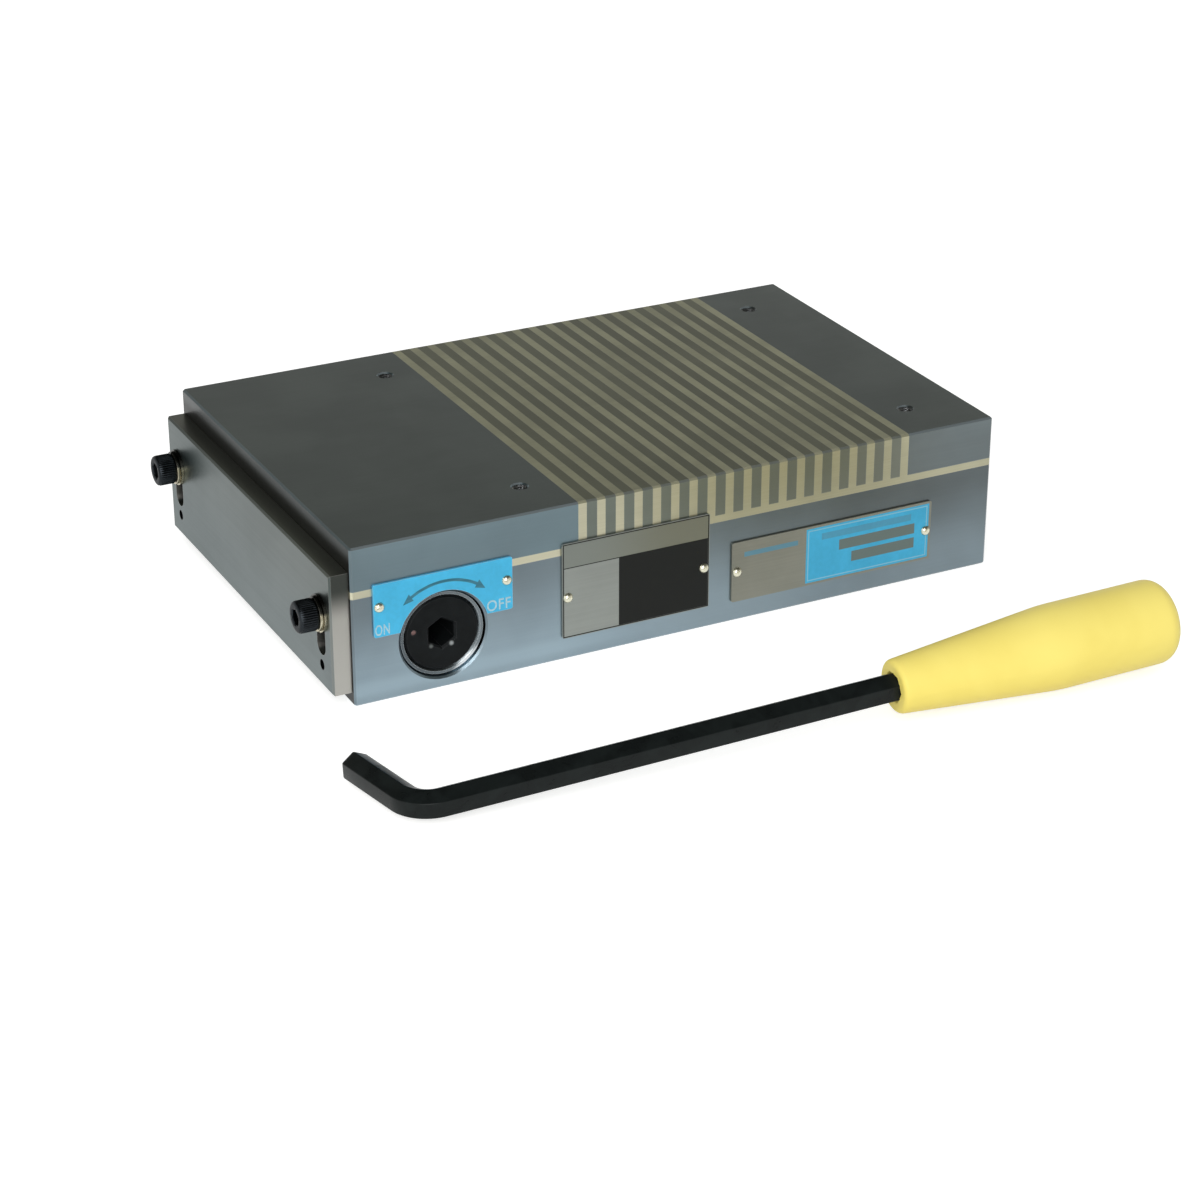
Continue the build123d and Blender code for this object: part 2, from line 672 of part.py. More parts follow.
# Side stop plate: a flat bar on the left end with two upright slots and two small pin holes.
with BuildPart() as side_stop_plate:
    with BuildSketch(Plane.YZ.offset(stop_plate_back)):
        with Locations((0, stop_plate_bottom + stop_plate_height / 2)):
            Rectangle(stop_plate_length, stop_plate_height)
        with Locations((-stop_bolt_y, (slot_low_z + stop_bolt_z) / 2),
                       (stop_bolt_y, (slot_low_z + stop_bolt_z) / 2)):
            SlotCenterToCenter(stop_plate_travel, slot_width, rotation=90, mode=Mode.SUBTRACT)
        with Locations((-stop_bolt_y, pin_hole_z), (stop_bolt_y, pin_hole_z)):
            Circle(pin_hole_dia / 2, mode=Mode.SUBTRACT)
    extrude(amount=-stop_plate_thickness)
    outer_face = side_stop_plate.faces().sort_by(Axis.X)[0]
    chamfer(outer_face.outer_wire().edges(), stop_plate_chamfer)
write(side_stop_plate, "side_stop_plate")

stop_seats = [Plane((bolt_head_seat, side * stop_bolt_y, stop_bolt_z),
                    x_dir=(0, 1, 0), z_dir=(1, 0, 0)) for side in (-1, 1)]
stop_plate_screws = cap_screws(stop_seats, m5_dia, m5_head_dia, m5_head_height, m5_hex,
                               m5_hex_depth, stop_bolt_length)
write(stop_plate_screws, "stop_plate_screws")

with BuildPart() as flat_washers:
    for side in (-1, 1):
        with BuildSketch(Plane.YZ.offset(washer_seat)):
            with Locations((side * stop_bolt_y, stop_bolt_z)):
                Circle(flat_washer_dia / 2)
                Circle(m5_dia / 2 + bolt_clearance, mode=Mode.SUBTRACT)
        extrude(amount=-flat_washer_thickness)
write(flat_washers, "flat_washers")

with BuildPart() as spring_washers:
    for side in (-1, 1):
        with BuildSketch(Plane.YZ.offset(washer_seat - flat_washer_thickness)):
            with Locations((side * stop_bolt_y, stop_bolt_z)):
                Circle(spring_washer_dia / 2)
                Circle(m5_dia / 2 + bolt_clearance, mode=Mode.SUBTRACT)
            with Locations((side * stop_bolt_y, stop_bolt_z + spring_washer_dia / 4)):
                Rectangle(spring_washer_split, spring_washer_dia / 2, mode=Mode.SUBTRACT)
        extrude(amount=-spring_washer_thickness)
write(spring_washers, "spring_washers")


def front_plate(size, centre, rise, bush_cut=False):
    """A thin plate on the front face, drilled for its two rivets and, for the switch plate,
    cut away in an arc round the front bush."""
    reach = size[0] / 2 - rivet_inset
    with BuildPart() as plate:
        with BuildSketch(along_y(front_y)):
            with Locations(centre):
                RectangleRounded(size[0], size[1], plate_corner)
            with Locations((centre[0] - reach, centre[1] + rise),
                           (centre[0] + reach, centre[1] + rise)):
                Circle(rivet_shank_dia / 2 + rivet_fit, mode=Mode.SUBTRACT)
            if bush_cut:
                with Locations((shaft_x, shaft_z)):
                    Circle(front_bush_outer_dia / 2 + switch_plate_bush_gap, mode=Mode.SUBTRACT)
        extrude(amount=plate_thickness)
    return plate


switch_plate = front_plate(switch_plate_size, switch_plate_centre, switch_rivet_rise, True)
write(switch_plate, "switch_plate")
middle_plate = front_plate(middle_plate_size, middle_plate_centre, middle_rivet_rise)
write(middle_plate, "middle_plate")
rating_plate = front_plate(rating_plate_size, rating_plate_centre, 0.0)
write(rating_plate, "rating_plate")

# Drive rivets: domed heads on plain shanks that are driven into the housing.
rivet_tip_y = front_y + rivet_shank_length - rivet_tip_gap
with BuildPart() as plate_rivets:
    for rivet_x, rivet_z in rivet_points:
        with BuildSketch(Plane.YZ.offset(rivet_x)):
            with BuildLine():
                head_y = front_y - plate_thickness
                dome_top = (head_y - rivet_head_height, rivet_z)
                rim = (head_y, rivet_z + rivet_head_dia / 2)
                half_way = (head_y - rivet_head_height * cos(radians(rivet_crown_angle)),
                            rivet_z + rivet_head_dia / 2 * sin(radians(rivet_crown_angle)))
                ThreePointArc(dome_top, half_way, rim)
                Polyline(rim, (head_y, rivet_z + rivet_shank_dia / 2),
                         (rivet_tip_y, rivet_z + rivet_shank_dia / 2),
                         (rivet_tip_y, rivet_z), dome_top)
            make_face()
        revolve(axis=Axis((rivet_x, 0, rivet_z), (0, 1, 0)))
write(plate_rivets, "plate_rivets")

# Hex lever. Its leg lies flat on the bench and its rod rises a little to the thick grip, which
# rests on its shoulder. The bend keeps a flat on the inside, so a corner line touches the bench.
lever_corner_radius = lever_across_flats / sqrt(3)
lever_pitch = degrees(asin((grip_radius - lever_corner_radius) / grip_shoulder))
rod_direction = Vector(cos(radians(lever_yaw)) * cos(radians(lever_pitch)),
                       sin(radians(lever_yaw)) * cos(radians(lever_pitch)),
                       sin(radians(lever_pitch)))
leg_direction = Vector(cos(radians(leg_yaw)), sin(radians(leg_yaw)), 0)
lever_normal = rod_direction.cross(leg_direction).normalized()
lever_origin = Vector(lever_corner_x, lever_corner_y, lever_corner_radius)
lever_plane = Plane(lever_origin, x_dir=rod_direction, z_dir=lever_normal)
leg_angle = acos(rod_direction.dot(leg_direction))
leg_tip = (leg_length * cos(leg_angle), leg_length * sin(leg_angle))
tip_point = lever_origin + leg_direction * leg_length
tip_plane = Plane(tip_point, x_dir=lever_normal, z_dir=-leg_direction)

with BuildPart() as hex_lever:
    with BuildLine(lever_plane) as lever_path:
        FilletPolyline(leg_tip, (0, 0), (grip_start + grip_socket_depth - grip_socket_fit, 0),
                       radius=lever_bend_radius)
    with BuildSketch(tip_plane):
        hexagon(lever_across_flats)
    sweep(path=lever_path.wires()[0])
    tip_face = hex_lever.faces().sort_by_distance(tip_point)[0]
    chamfer(tip_face.edges(), lever_tip_chamfer)
write(hex_lever, "hex_lever")

# Grip: a moulded plastic handle, tapered towards the rod, with a slightly domed end.
with BuildPart() as lever_grip:
    with BuildSketch(lever_plane) as grip_profile:
        with BuildLine():
            Polyline((grip_tip, 0), (grip_start, 0), (grip_start, grip_nose_radius),
                     (grip_shoulder, grip_radius), (grip_end, grip_radius))
            TangentArc((grip_tip, 0), (grip_end, grip_radius), tangent=(0, 1))
        make_face()
        for place, rounding in (((grip_start, grip_nose_radius), grip_nose_round),
                                ((grip_shoulder, grip_radius), grip_shoulder_round),
                                ((grip_end, grip_radius), grip_end_round)):
            fillet(grip_profile.vertices().sort_by_distance(place)[0], rounding)
    revolve(axis=Axis(lever_origin, rod_direction))
    with BuildSketch(Plane(lever_origin + rod_direction * grip_start, x_dir=lever_normal,
                           z_dir=rod_direction)):
        hexagon(lever_across_flats + 2 * grip_socket_fit)
    extrude(amount=grip_socket_depth, mode=Mode.SUBTRACT)
write(lever_grip, "lever_grip")
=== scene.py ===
import bmesh
import bpy
import numpy as np
from math import asin, cos, pi, radians, sin, sqrt, tan
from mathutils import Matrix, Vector


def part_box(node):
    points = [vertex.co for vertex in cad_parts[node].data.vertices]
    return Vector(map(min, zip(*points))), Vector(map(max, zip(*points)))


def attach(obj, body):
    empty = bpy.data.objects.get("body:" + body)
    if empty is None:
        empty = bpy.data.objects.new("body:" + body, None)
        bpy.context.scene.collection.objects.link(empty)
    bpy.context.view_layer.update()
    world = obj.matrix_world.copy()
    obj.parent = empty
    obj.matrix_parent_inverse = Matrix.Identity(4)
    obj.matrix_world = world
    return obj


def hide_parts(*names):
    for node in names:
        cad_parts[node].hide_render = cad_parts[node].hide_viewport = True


# A permanent magnetic chuck with a side stop plate and its loose hex lever.
# Metres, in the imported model's own frame: the front face looks to -Y, the long side runs along X.
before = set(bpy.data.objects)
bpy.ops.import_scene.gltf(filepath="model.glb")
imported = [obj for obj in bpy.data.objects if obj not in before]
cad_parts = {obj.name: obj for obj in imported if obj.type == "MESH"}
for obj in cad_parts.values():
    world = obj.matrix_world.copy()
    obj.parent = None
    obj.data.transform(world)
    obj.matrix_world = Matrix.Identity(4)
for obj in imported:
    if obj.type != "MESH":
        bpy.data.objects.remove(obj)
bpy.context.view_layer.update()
mm = 0.001


# Housing: a block of tool steel, milled hollow from above and ground on all its outer faces.
# The grinding leaves fine lines along the block, and handling leaves a thin uneven film of oil.
def feed(tree, socket, value):
    """Gives an input a constant or another node's output. None leaves it as it is."""
    if isinstance(value, bpy.types.NodeSocket):
        tree.links.new(value, socket)
    elif value is not None:
        socket.default_value = value


def place(tree, kind, *values, **settings):
    """One shader node, whose inputs are fed in order."""
    node = tree.nodes.new(kind)
    for key, value in settings.items():
        setattr(node, key, value)
    for socket, value in zip(node.inputs, values):
        feed(tree, socket, value)
    return node


def calc(tree, operation, *values):
    """The output of one math node."""
    return place(tree, "ShaderNodeMath", *values, operation=operation).outputs[0]


def tint(tree, share, first, second):
    """A colour that goes from first to second as share goes from 0 to 1."""
    node = place(tree, "ShaderNodeMix", share, data_type="RGBA")
    for socket, colour in ((node.inputs[6], first), (node.inputs[7], second)):
        feed(tree, socket, (*colour, 1.0) if isinstance(colour, tuple) else colour)
    return node.outputs[2]


def ramp(tree, value, low, high):
    """Zero below low, one above high, and a smooth step between them."""
    return place(tree, "ShaderNodeMapRange", value, low, high, interpolation_type="SMOOTHSTEP").outputs[0]


def blend(tree, first, part, second):
    """Two masks weighed into one: the first by its part, the second by the rest."""
    return calc(tree, "MULTIPLY_ADD", first, part, calc(tree, "MULTIPLY", second, 1 - part))


def effect(name, inputs, outputs):
    """An empty node group with named inputs and outputs, for an effect that several materials use. An
    input without a number is a vector."""
    group = bpy.data.node_groups.new(name, "ShaderNodeTree")
    for label, value in inputs.items():
        kind = "NodeSocketVector" if value is None else "NodeSocketFloat"
        socket = group.interface.new_socket(label, in_out="INPUT", socket_type=kind)
        if value is not None:
            socket.default_value = value
    for label in outputs:
        group.interface.new_socket(label, in_out="OUTPUT", socket_type="NodeSocketFloat")
    return group, group.nodes.new("NodeGroupInput").outputs, group.nodes.new("NodeGroupOutput").inputs


def use(tree, group, vector, **values):
    """Places a node group in a material, with its own values, and gives its outputs."""
    node = place(tree, "ShaderNodeGroup", node_tree=group)
    if vector is not None:
        tree.links.new(vector, node.inputs[0])
    for key, value in values.items():
        feed(tree, node.inputs[key], value)
    return node.outputs


def make_grinding_lines():
    """Lines along the vector's X: noise that is drawn out a hundred times along X, in a fine and a
    coarser octave, so that lines start and end as a wheel's grit marks do."""
    inputs = {"Vector": None, "Fineness": 2400.0}
    group, given, result = effect("grinding_lines", inputs, ("Lines", "Height"))
    drawn = place(group, "ShaderNodeVectorMath", given["Vector"], (0.012, 1.0, 1.0), operation="MULTIPLY")
    coarse = calc(group, "MULTIPLY", given["Fineness"], 0.17)
    fine = place(group, "ShaderNodeTexNoise", drawn.outputs[0], None, given["Fineness"], 2.0, 0.6)
    wide = place(group, "ShaderNodeTexNoise", drawn.outputs[0], None, coarse, 2.0, 0.5)
    both = blend(group, fine.outputs[0], 0.65, wide.outputs[0])
    group.links.new(ramp(group, both, 0.36, 0.64), result["Lines"])
    group.links.new(both, result["Height"])
    return group


def make_oil_film():
    """A slow, cloudy mask: noise warped by a second noise, stretched to the range 0 to 1. A larger size
    makes the clouds smaller."""
    group, given, result = effect("oil_film", {"Vector": None, "Size": 28.0}, ("Film",))
    slower = calc(group, "MULTIPLY", given["Size"], 0.6)
    warp = place(group, "ShaderNodeTexNoise", given["Vector"], None, slower, 2.0, 0.5)
    pushed = place(group, "ShaderNodeVectorMath", warp.outputs[1], (0.03, 0.03, 0.03), given["Vector"],
                   operation="MULTIPLY_ADD")
    cloud = place(group, "ShaderNodeTexNoise", pushed.outputs[0], None, given["Size"], 3.0, 0.55)
    group.links.new(ramp(group, cloud.outputs[0], 0.34, 0.66), result["Film"])
    return group


def make_edge_nearness():
    """How far the surface lies on an edge: one minus the cosine between the true normal and the normal
    that a small rolling ball would see, stretched to 0 to 1."""
    group, given, result = effect("edge_nearness", {"Vector": None, "Radius": 0.0004}, ("Edge",))
    rolled = place(group, "ShaderNodeBevel", given["Radius"], samples=6)
    true = place(group, "ShaderNodeNewGeometry")
    turned = place(group, "ShaderNodeVectorMath", rolled.outputs[0], true.outputs["True Normal"],
                   operation="DOT_PRODUCT")
    apart = calc(group, "SUBTRACT", 1.0, turned.outputs["Value"])
    group.links.new(ramp(group, apart, 0.02, 0.16), result["Edge"])
    return group


grinding_lines = make_grinding_lines()
oil_film = make_oil_film()
edge_nearness = make_edge_nearness()


def new_material(name, **sockets):
    """A material with one Principled shader, whose constant sockets are set here. Gives the material,
    its node tree, the shader's inputs and the object coordinates."""
    material = bpy.data.materials.new(name)
    material.use_nodes = True
    tree = material.node_tree
    shader = next(n for n in tree.nodes if n.type == "BSDF_PRINCIPLED")
    for key, value in sockets.items():
        shader.inputs[key.replace("_", " ")].default_value = value
    where = tree.nodes.new("ShaderNodeTexCoord").outputs["Object"]
    return material, tree, shader.inputs, where


def relief(tree, height, depth):
    """The normal of a bump whose height of 0 to 1 stands for a depth in metres."""
    return place(tree, "ShaderNodeBump", 1.0, depth, None, height).outputs[0]


def finish(tree, shader, colour, wear, swing, rough, height, depth):
    """Feeds a shader its colour, a roughness that swings with the wear, and the relief of a height."""
    tree.links.new(colour, shader["Base Color"])
    tree.links.new(calc(tree, "MULTIPLY_ADD", wear, swing, rough), shader["Roughness"])
    tree.links.new(relief(tree, height, depth), shader["Normal"])


def dress(material, *nodes):
    """Gives CAD nodes a material in every slot."""
    for node in nodes:
        for material_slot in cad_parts[node].material_slots:
            material_slot.material = material


def two_tone(tree, share, colour, spread=0.07):
    """A colour that swings by the spread to either side of its middle as share goes from 0 to 1."""
    darker, lighter = (tuple(c * (1 + side * spread) for c in colour) for side in (-1, 1))
    return tint(tree, share, darker, lighter)


def clouds(tree, where, size):
    """The mask of the oil film."""
    return use(tree, oil_film, where, Size=size)["Film"]


def worn_and_lit_edges(tree, body, radius, strength, bare_or_lit):
    """Lays a lighter colour over the edges of a body: partly bare metal where they wear, partly a painted
    highlight.
    """
    edge = use(tree, edge_nearness, None, Radius=radius)["Edge"]
    return tint(tree, calc(tree, "MULTIPLY", edge, strength), body, bare_or_lit)


def along_axis(tree, where, axis, low, high):
    """A smooth step from 0 to 1 between two places along an axis (0, 1, 2 for X, Y, Z)."""
    return ramp(tree, place(tree, "ShaderNodeSeparateXYZ", where).outputs[axis], low, high)


def make_facing():
    """One where the normal looks along a direction to within 26 degrees, zero past 53 degrees."""
    group, given, result = effect("facing", {"Normal": None, "Direction": None}, ("Mask",))
    cosine = place(group, "ShaderNodeVectorMath", given["Normal"], given["Direction"],
                   operation="DOT_PRODUCT")
    group.links.new(ramp(group, cosine.outputs["Value"], 0.6, 0.9), result["Mask"])
    return group


def make_broken_edge():
    """One on a chamfer along a long side, where the normal's Y times its Z is a half, zero elsewhere."""
    group, given, result = effect("broken_edge", {"Normal": None}, ("Mask",))
    apart = place(group, "ShaderNodeSeparateXYZ", given["Normal"]).outputs
    product = calc(group, "ABSOLUTE", calc(group, "MULTIPLY", apart[1], apart[2]))
    group.links.new(ramp(group, product, 0.3, 0.45), result["Mask"])
    return group


def make_painted_shade_film():
    """How much painted shade lies on the block: none at the lower left, more towards its upper edge and
    its right end, and a little cloudy with oil."""
    group, given, result = effect("painted_shade_film", {"Vector": None, "Cloud": 0.5}, ("Film",))
    upward = along_axis(group, given["Vector"], 2, 5 * mm, 29 * mm)
    rightward = along_axis(group, given["Vector"], 0, -35 * mm, 70 * mm)
    both = calc(group, "MULTIPLY_ADD", upward, 0.48, calc(group, "MULTIPLY", rightward, 0.46))
    film = calc(group, "MULTIPLY_ADD", given["Cloud"], 0.1, calc(group, "SUBTRACT", both, 0.03))
    group.links.new(place(group, "ShaderNodeClamp", film).outputs[0], result["Film"])
    return group


facing = make_facing()
broken_edge = make_broken_edge()
painted_shade_film = make_painted_shade_film()


def faces(tree, direction):
    """The mask of the faces that look along a direction."""
    normal = tree.nodes.new("ShaderNodeTexCoord").outputs["Normal"]
    return use(tree, facing, normal, Direction=direction)["Mask"]


def matt_painted_edge(tree, shader, body, colour):
    """Lays a matt colour that isn't metallic over the chamfers of the long sides: painted light, a tone
    between the work face and the side.
    """
    normal = tree.nodes.new("ShaderNodeTexCoord").outputs["Normal"]
    matt = use(tree, broken_edge, normal)["Mask"]
    tree.links.new(calc(tree, "SUBTRACT", 1.0, matt), shader["Metallic"])
    return tint(tree, matt, body, colour)


def ground_steel(name, lit_grey, shaded_grey, rough, work_face_shade=None, left_end_shade=None, left_rim_shade=None, painted_edge_tone=None):
    """Ground steel in faint grinding lines and clouds of oil film, painted lighter at the lower left and
    darker towards the upper edge and the right end as painted shade. The work face and the left end may
    have painted shades of their own, and the broken edges a matt painted tone. A band along the lower
    left edge carries a painted highlight, and the edges are lighter, partly from wear, partly as painted
    highlight."""
    material, tree, shader, where = new_material(name, Metallic=1.0)
    marks = use(tree, grinding_lines, where, Fineness=2600.0)
    cloud = clouds(tree, where, 30.0)
    share = blend(tree, marks["Lines"], 0.2, cloud)
    # Painted shade: darker towards the upper edge and the right end, lighter at the lower left, a little
    # cloudy with oil.
    shade_and_film = use(tree, painted_shade_film, where, Cloud=clouds(tree, where, 20.0))["Film"]
    body = tint(tree, shade_and_film, two_tone(tree, share, lit_grey), two_tone(tree, share, shaded_grey))
    # Painted highlight: a soft glint in a band along the lower left edge, lighter than the lit grey.
    low_band = calc(tree, "MULTIPLY", along_axis(tree, where, 2, 1.0 * mm, 3.5 * mm),
                    along_axis(tree, where, 2, 8.0 * mm, 4.5 * mm))
    painted_glint = calc(tree, "MULTIPLY", low_band, along_axis(tree, where, 0, 0.0, -42 * mm))
    body = tint(tree, calc(tree, "MULTIPLY", painted_glint, 0.42), body, tuple(c * 1.35 for c in lit_grey))
    # Painted shade: the work face is darker than the sides.
    if work_face_shade:
        body = tint(tree, faces(tree, (0.0, 0.0, 1.0)), body, two_tone(tree, share, work_face_shade))
    # Edges: partly wear, partly a painted highlight on the chamfers.
    body = worn_and_lit_edges(tree, body, 0.4 * mm, 0.25, (0.42, 0.45, 0.46))
    # Painted shade: the left end face is near black, a little lighter at its rim near the top.
    if left_end_shade:
        rim = along_axis(tree, where, 2, 39.6 * mm, 42.4 * mm)
        end = tint(tree, rim, two_tone(tree, share, left_end_shade), two_tone(tree, share, left_rim_shade))
        body = tint(tree, faces(tree, (-1.0, 0.0, 0.0)), body, end)
    # Painted light: the chamfers of the long sides get a matt tone between the work face and the side.
    if painted_edge_tone:
        body = matt_painted_edge(tree, shader, body, painted_edge_tone)
    finish(tree, shader, body, share, -0.05, rough, marks["Height"], 0.002 * mm)
    return material


# Painted shade for the left end faces above the stop plate: near black, a little lighter at the rim near
# the top.
painted_end_shade, painted_end_rim_shade = (0.013, 0.014, 0.014), (0.062, 0.070, 0.070)
# Housing: lit grey low at the left, painted shade towards the top and the right end.
housing_steel = ground_steel("housing_steel", (0.24, 0.31, 0.355), (0.108, 0.124, 0.128), 0.36,
                             left_end_shade=painted_end_shade, left_rim_shade=painted_end_rim_shade)
dress(housing_steel, "base_housing")


# Inner drive: a bronze tail bush, and a steel fork that the roller pushes. They are turned and
# milled parts that nothing shows through to, with tool marks and a coat of grease.
def machined(name, dark, light, rough, marks_size=900.0):
    """Machined metal: two shades mixed by short tool marks, greasy in clouds."""
    material, tree, shader, where = new_material(name, Metallic=1.0)
    marks = use(tree, grinding_lines, where, Fineness=marks_size)
    film = clouds(tree, where, 60.0)
    colour = tint(tree, marks["Lines"], dark, light)
    finish(tree, shader, colour, film, -0.12, rough, marks["Height"], 0.01 * mm)
    return material


dress(machined("turned_bronze", (0.35, 0.19, 0.07), (0.47, 0.27, 0.11), 0.42), "tail_bush")
dress(machined("milled_steel", (0.38, 0.39, 0.40), (0.50, 0.51, 0.52), 0.36), "drive_fork", "cam_roller")
dress(machined("pole_iron", (0.20, 0.20, 0.21), (0.28, 0.28, 0.29), 0.45), "carriage_poles")


# Sintered magnets and the rubber seal ring: dull, dark and finely grained, and hidden as well.
def make_fine_grain():
    """Even grain: a mask and a height from one fine isotropic noise."""
    group, given, result = effect("fine_grain", {"Vector": None, "Scale": 3000.0}, ("Mask", "Height"))
    noise = place(group, "ShaderNodeTexNoise", given["Vector"], None, given["Scale"], 3.0, 0.6)
    group.links.new(ramp(group, noise.outputs[0], 0.35, 0.65), result["Mask"])
    group.links.new(noise.outputs[0], result["Height"])
    return group


fine_grain = make_fine_grain()


def grained(name, first, second, rough, scale=2500.0, depth=0.02 * mm, **sockets):
    """A finely grained finish in two shades."""
    material, tree, shader, where = new_material(name, **sockets)
    grain = use(tree, fine_grain, where, Scale=scale)
    colour = tint(tree, grain["Mask"], first, second)
    finish(tree, shader, colour, grain["Mask"], 0.1, rough, grain["Height"], depth)
    return material


sintered = grained("sintered_magnet", (0.016, 0.016, 0.018), (0.035, 0.035, 0.04), 0.5, Metallic=0.4)
dress(sintered, "magnets")
dress(grained("seal_rubber", (0.008, 0.008, 0.008), (0.018, 0.018, 0.018), 0.55), "shaft_seal")


# Front bush: a bright turned steel ring round the shaft's head, pressed into the front wall.
# Its face has the rings that the lathe tool leaves.
def make_turning_rings():
    """Rings round the vector's Y axis: noise of the distance from the axis alone."""
    group, given, result = effect("turning_rings", {"Vector": None, "Fineness": 5000.0}, ("Rings",))
    flat = place(group, "ShaderNodeVectorMath", given["Vector"], (1.0, 0.0, 1.0), operation="MULTIPLY")
    radius = place(group, "ShaderNodeVectorMath", flat.outputs[0], operation="LENGTH").outputs["Value"]
    rings = place(group, "ShaderNodeTexNoise", None, radius, given["Fineness"], 2.0, 0.5,
                  noise_dimensions="1D")
    group.links.new(rings.outputs[0], result["Rings"])
    return group


turning_rings = make_turning_rings()
bush_low, bush_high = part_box("front_bush")
shaft_x = (bush_low.x + bush_high.x) / 2
shaft_z = (bush_low.z + bush_high.z) / 2
head_y = bush_low.y
to_lower_right = (0.616, 0.0, -0.788)


def turned_steel(name, dark, light, rough):
    """Turned steel with the rings of the lathe tool round the drive shaft's axis, painted darker on the
    left and lighter on the right as shade, with a painted highlight along its edges and another at the
    lower right."""
    material, tree, shader, where = new_material(name, Metallic=1.0)
    centred = place(tree, "ShaderNodeMapping", where, (-shaft_x, 0.0, -shaft_z)).outputs[0]
    rings = use(tree, turning_rings, centred, Fineness=4500.0)["Rings"]
    film = clouds(tree, where, 90.0)
    share = blend(tree, rings, 0.7, film)
    # Painted shade: darker on the left, lighter on the right.
    across = along_axis(tree, where, 0, shaft_x - 9 * mm, shaft_x + 9 * mm)
    body = tint(tree, across, two_tone(tree, share, dark, 0.25), two_tone(tree, share, light, 0.25))
    # Painted highlight along the rims of the bush.
    body = worn_and_lit_edges(tree, body, 0.4 * mm, 0.8, (0.62, 0.66, 0.68))
    # Painted highlight on the ring at the lower right.
    diagonal = place(tree, "ShaderNodeVectorMath", centred, to_lower_right, operation="DOT_PRODUCT")
    painted_highlight = ramp(tree, diagonal.outputs["Value"], 10.1 * mm, 11.2 * mm)
    body = tint(tree, painted_highlight, body, (0.72, 0.75, 0.77))
    finish(tree, shader, body, film, 0.08, rough, rings, 0.01 * mm)
    return material


dress(turned_steel("bush_steel", (0.09, 0.105, 0.115), (0.155, 0.18, 0.195), 0.22), "front_bush")


# Drive shaft: blackened steel. Its head shows in the bush, with the hexagon socket for the lever
# and a small dimple with red paint that points at the switch plate.
def black_oxide(name, dark, light, rough, edge_colour=(0.09, 0.095, 0.1), glint_spots=(), **sockets):
    """Blackened steel: a dark skin that is hardly metallic, greyer at its edges, partly where they rub
    through and partly as a painted highlight. Painted glints, given as spots, have a centre, a radius and
    a colour."""
    sockets = {"Metallic": 0.2, "Specular_IOR_Level": 0.16, **sockets}
    material, tree, shader, where = new_material(name, **sockets)
    grain = use(tree, fine_grain, where, Scale=5200.0)
    film = clouds(tree, where, 130.0)
    skin = tint(tree, blend(tree, grain["Mask"], 0.4, film), dark, light)
    # Edges: greyer where the skin rubs through, and partly a painted highlight.
    skin = worn_and_lit_edges(tree, skin, 0.3 * mm, 0.5, edge_colour)
    for centre, radius, bare_or_lit in glint_spots:
        away = place(tree, "ShaderNodeVectorMath", where, centre, operation="DISTANCE").outputs["Value"]
        skin = tint(tree, ramp(tree, away, radius, radius * 0.2), skin, bare_or_lit)
    finish(tree, shader, skin, film, 0.1, rough, grain["Height"], 0.008 * mm)
    return material


shaft_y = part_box("drive_shaft")[0].y
glint_radius = 0.85 * mm
# Painted highlights: two glints on the mouth of the hexagon socket, which turn with the shaft.
painted_socket_glints = (((shaft_x + 2.6 * mm, shaft_y, shaft_z - 3.5 * mm), glint_radius, (0.30, 0.32, 0.32)),
             ((shaft_x - 3.1 * mm, shaft_y, shaft_z - 3.1 * mm), glint_radius, (0.12, 0.13, 0.125)))
shaft_black = black_oxide("shaft_black", (0.004, 0.005, 0.0055), (0.008, 0.0095, 0.010), 0.36,
                          glint_spots=painted_socket_glints, Specular_IOR_Level=0.1)
dress(shaft_black, "drive_shaft", "roller_clip")


def into_scene(name, data):
    """An object with its data, linked to the scene."""
    made = bpy.data.objects.new(name, data)
    bpy.context.scene.collection.objects.link(made)
    return made


def close_up(mesh):
    """Merges the doubles of a mesh and turns its faces outwards."""
    work = bmesh.new()
    work.from_mesh(mesh)
    bmesh.ops.remove_doubles(work, verts=work.verts, dist=1e-7)
    bmesh.ops.recalc_face_normals(work, faces=work.faces)
    work.to_mesh(mesh)
    work.free()


def mesh_of(name, points, material, around=False, along=False, crease=40.0):
    """A mesh of quads over a grid of points: rows run along the first index, and either direction may
    close on itself. Rows that shrink to a point are merged, normals face outwards, and edges sharper
    than the crease angle stay sharp."""
    rows, columns = points.shape[:2]
    index = np.arange(rows * columns).reshape(rows, columns)
    if around:
        index = np.concatenate([index, index[:, :1]], axis=1)
    if along:
        index = np.concatenate([index, index[:1]], axis=0)
    quads = np.stack([index[:-1, :-1], index[:-1, 1:], index[1:, 1:], index[1:, :-1]], axis=-1)
    mesh = bpy.data.meshes.new(name)
    mesh.from_pydata(points.reshape(-1, 3).tolist(), [], quads.reshape(-1, 4).tolist())
    close_up(mesh)
    mesh.shade_smooth()
    mesh.set_sharp_from_angle(angle=radians(crease))
    mesh.materials.append(material)
    return into_scene(name, mesh)


def paint_drop(centre, radius, rise, back):
    """A flat drop of paint: radius r = R sin(t) and height h = rise cos(t) over a quarter turn of t,
    closed by a disc at the height of its back. It faces -Y."""
    angle = np.linspace(0.0, 2 * pi, 40, endpoint=False)
    t = np.linspace(0.0, pi / 2, 8)
    r = np.concatenate([radius * np.sin(t), [radius, 0.0]])
    h = np.concatenate([rise * np.cos(t), [back, back]])
    return np.stack([centre[0] + np.outer(r, np.cos(angle)),
                     centre[1] - np.outer(h, np.ones_like(angle)),
                     centre[2] + np.outer(r, np.sin(angle))], axis=-1)


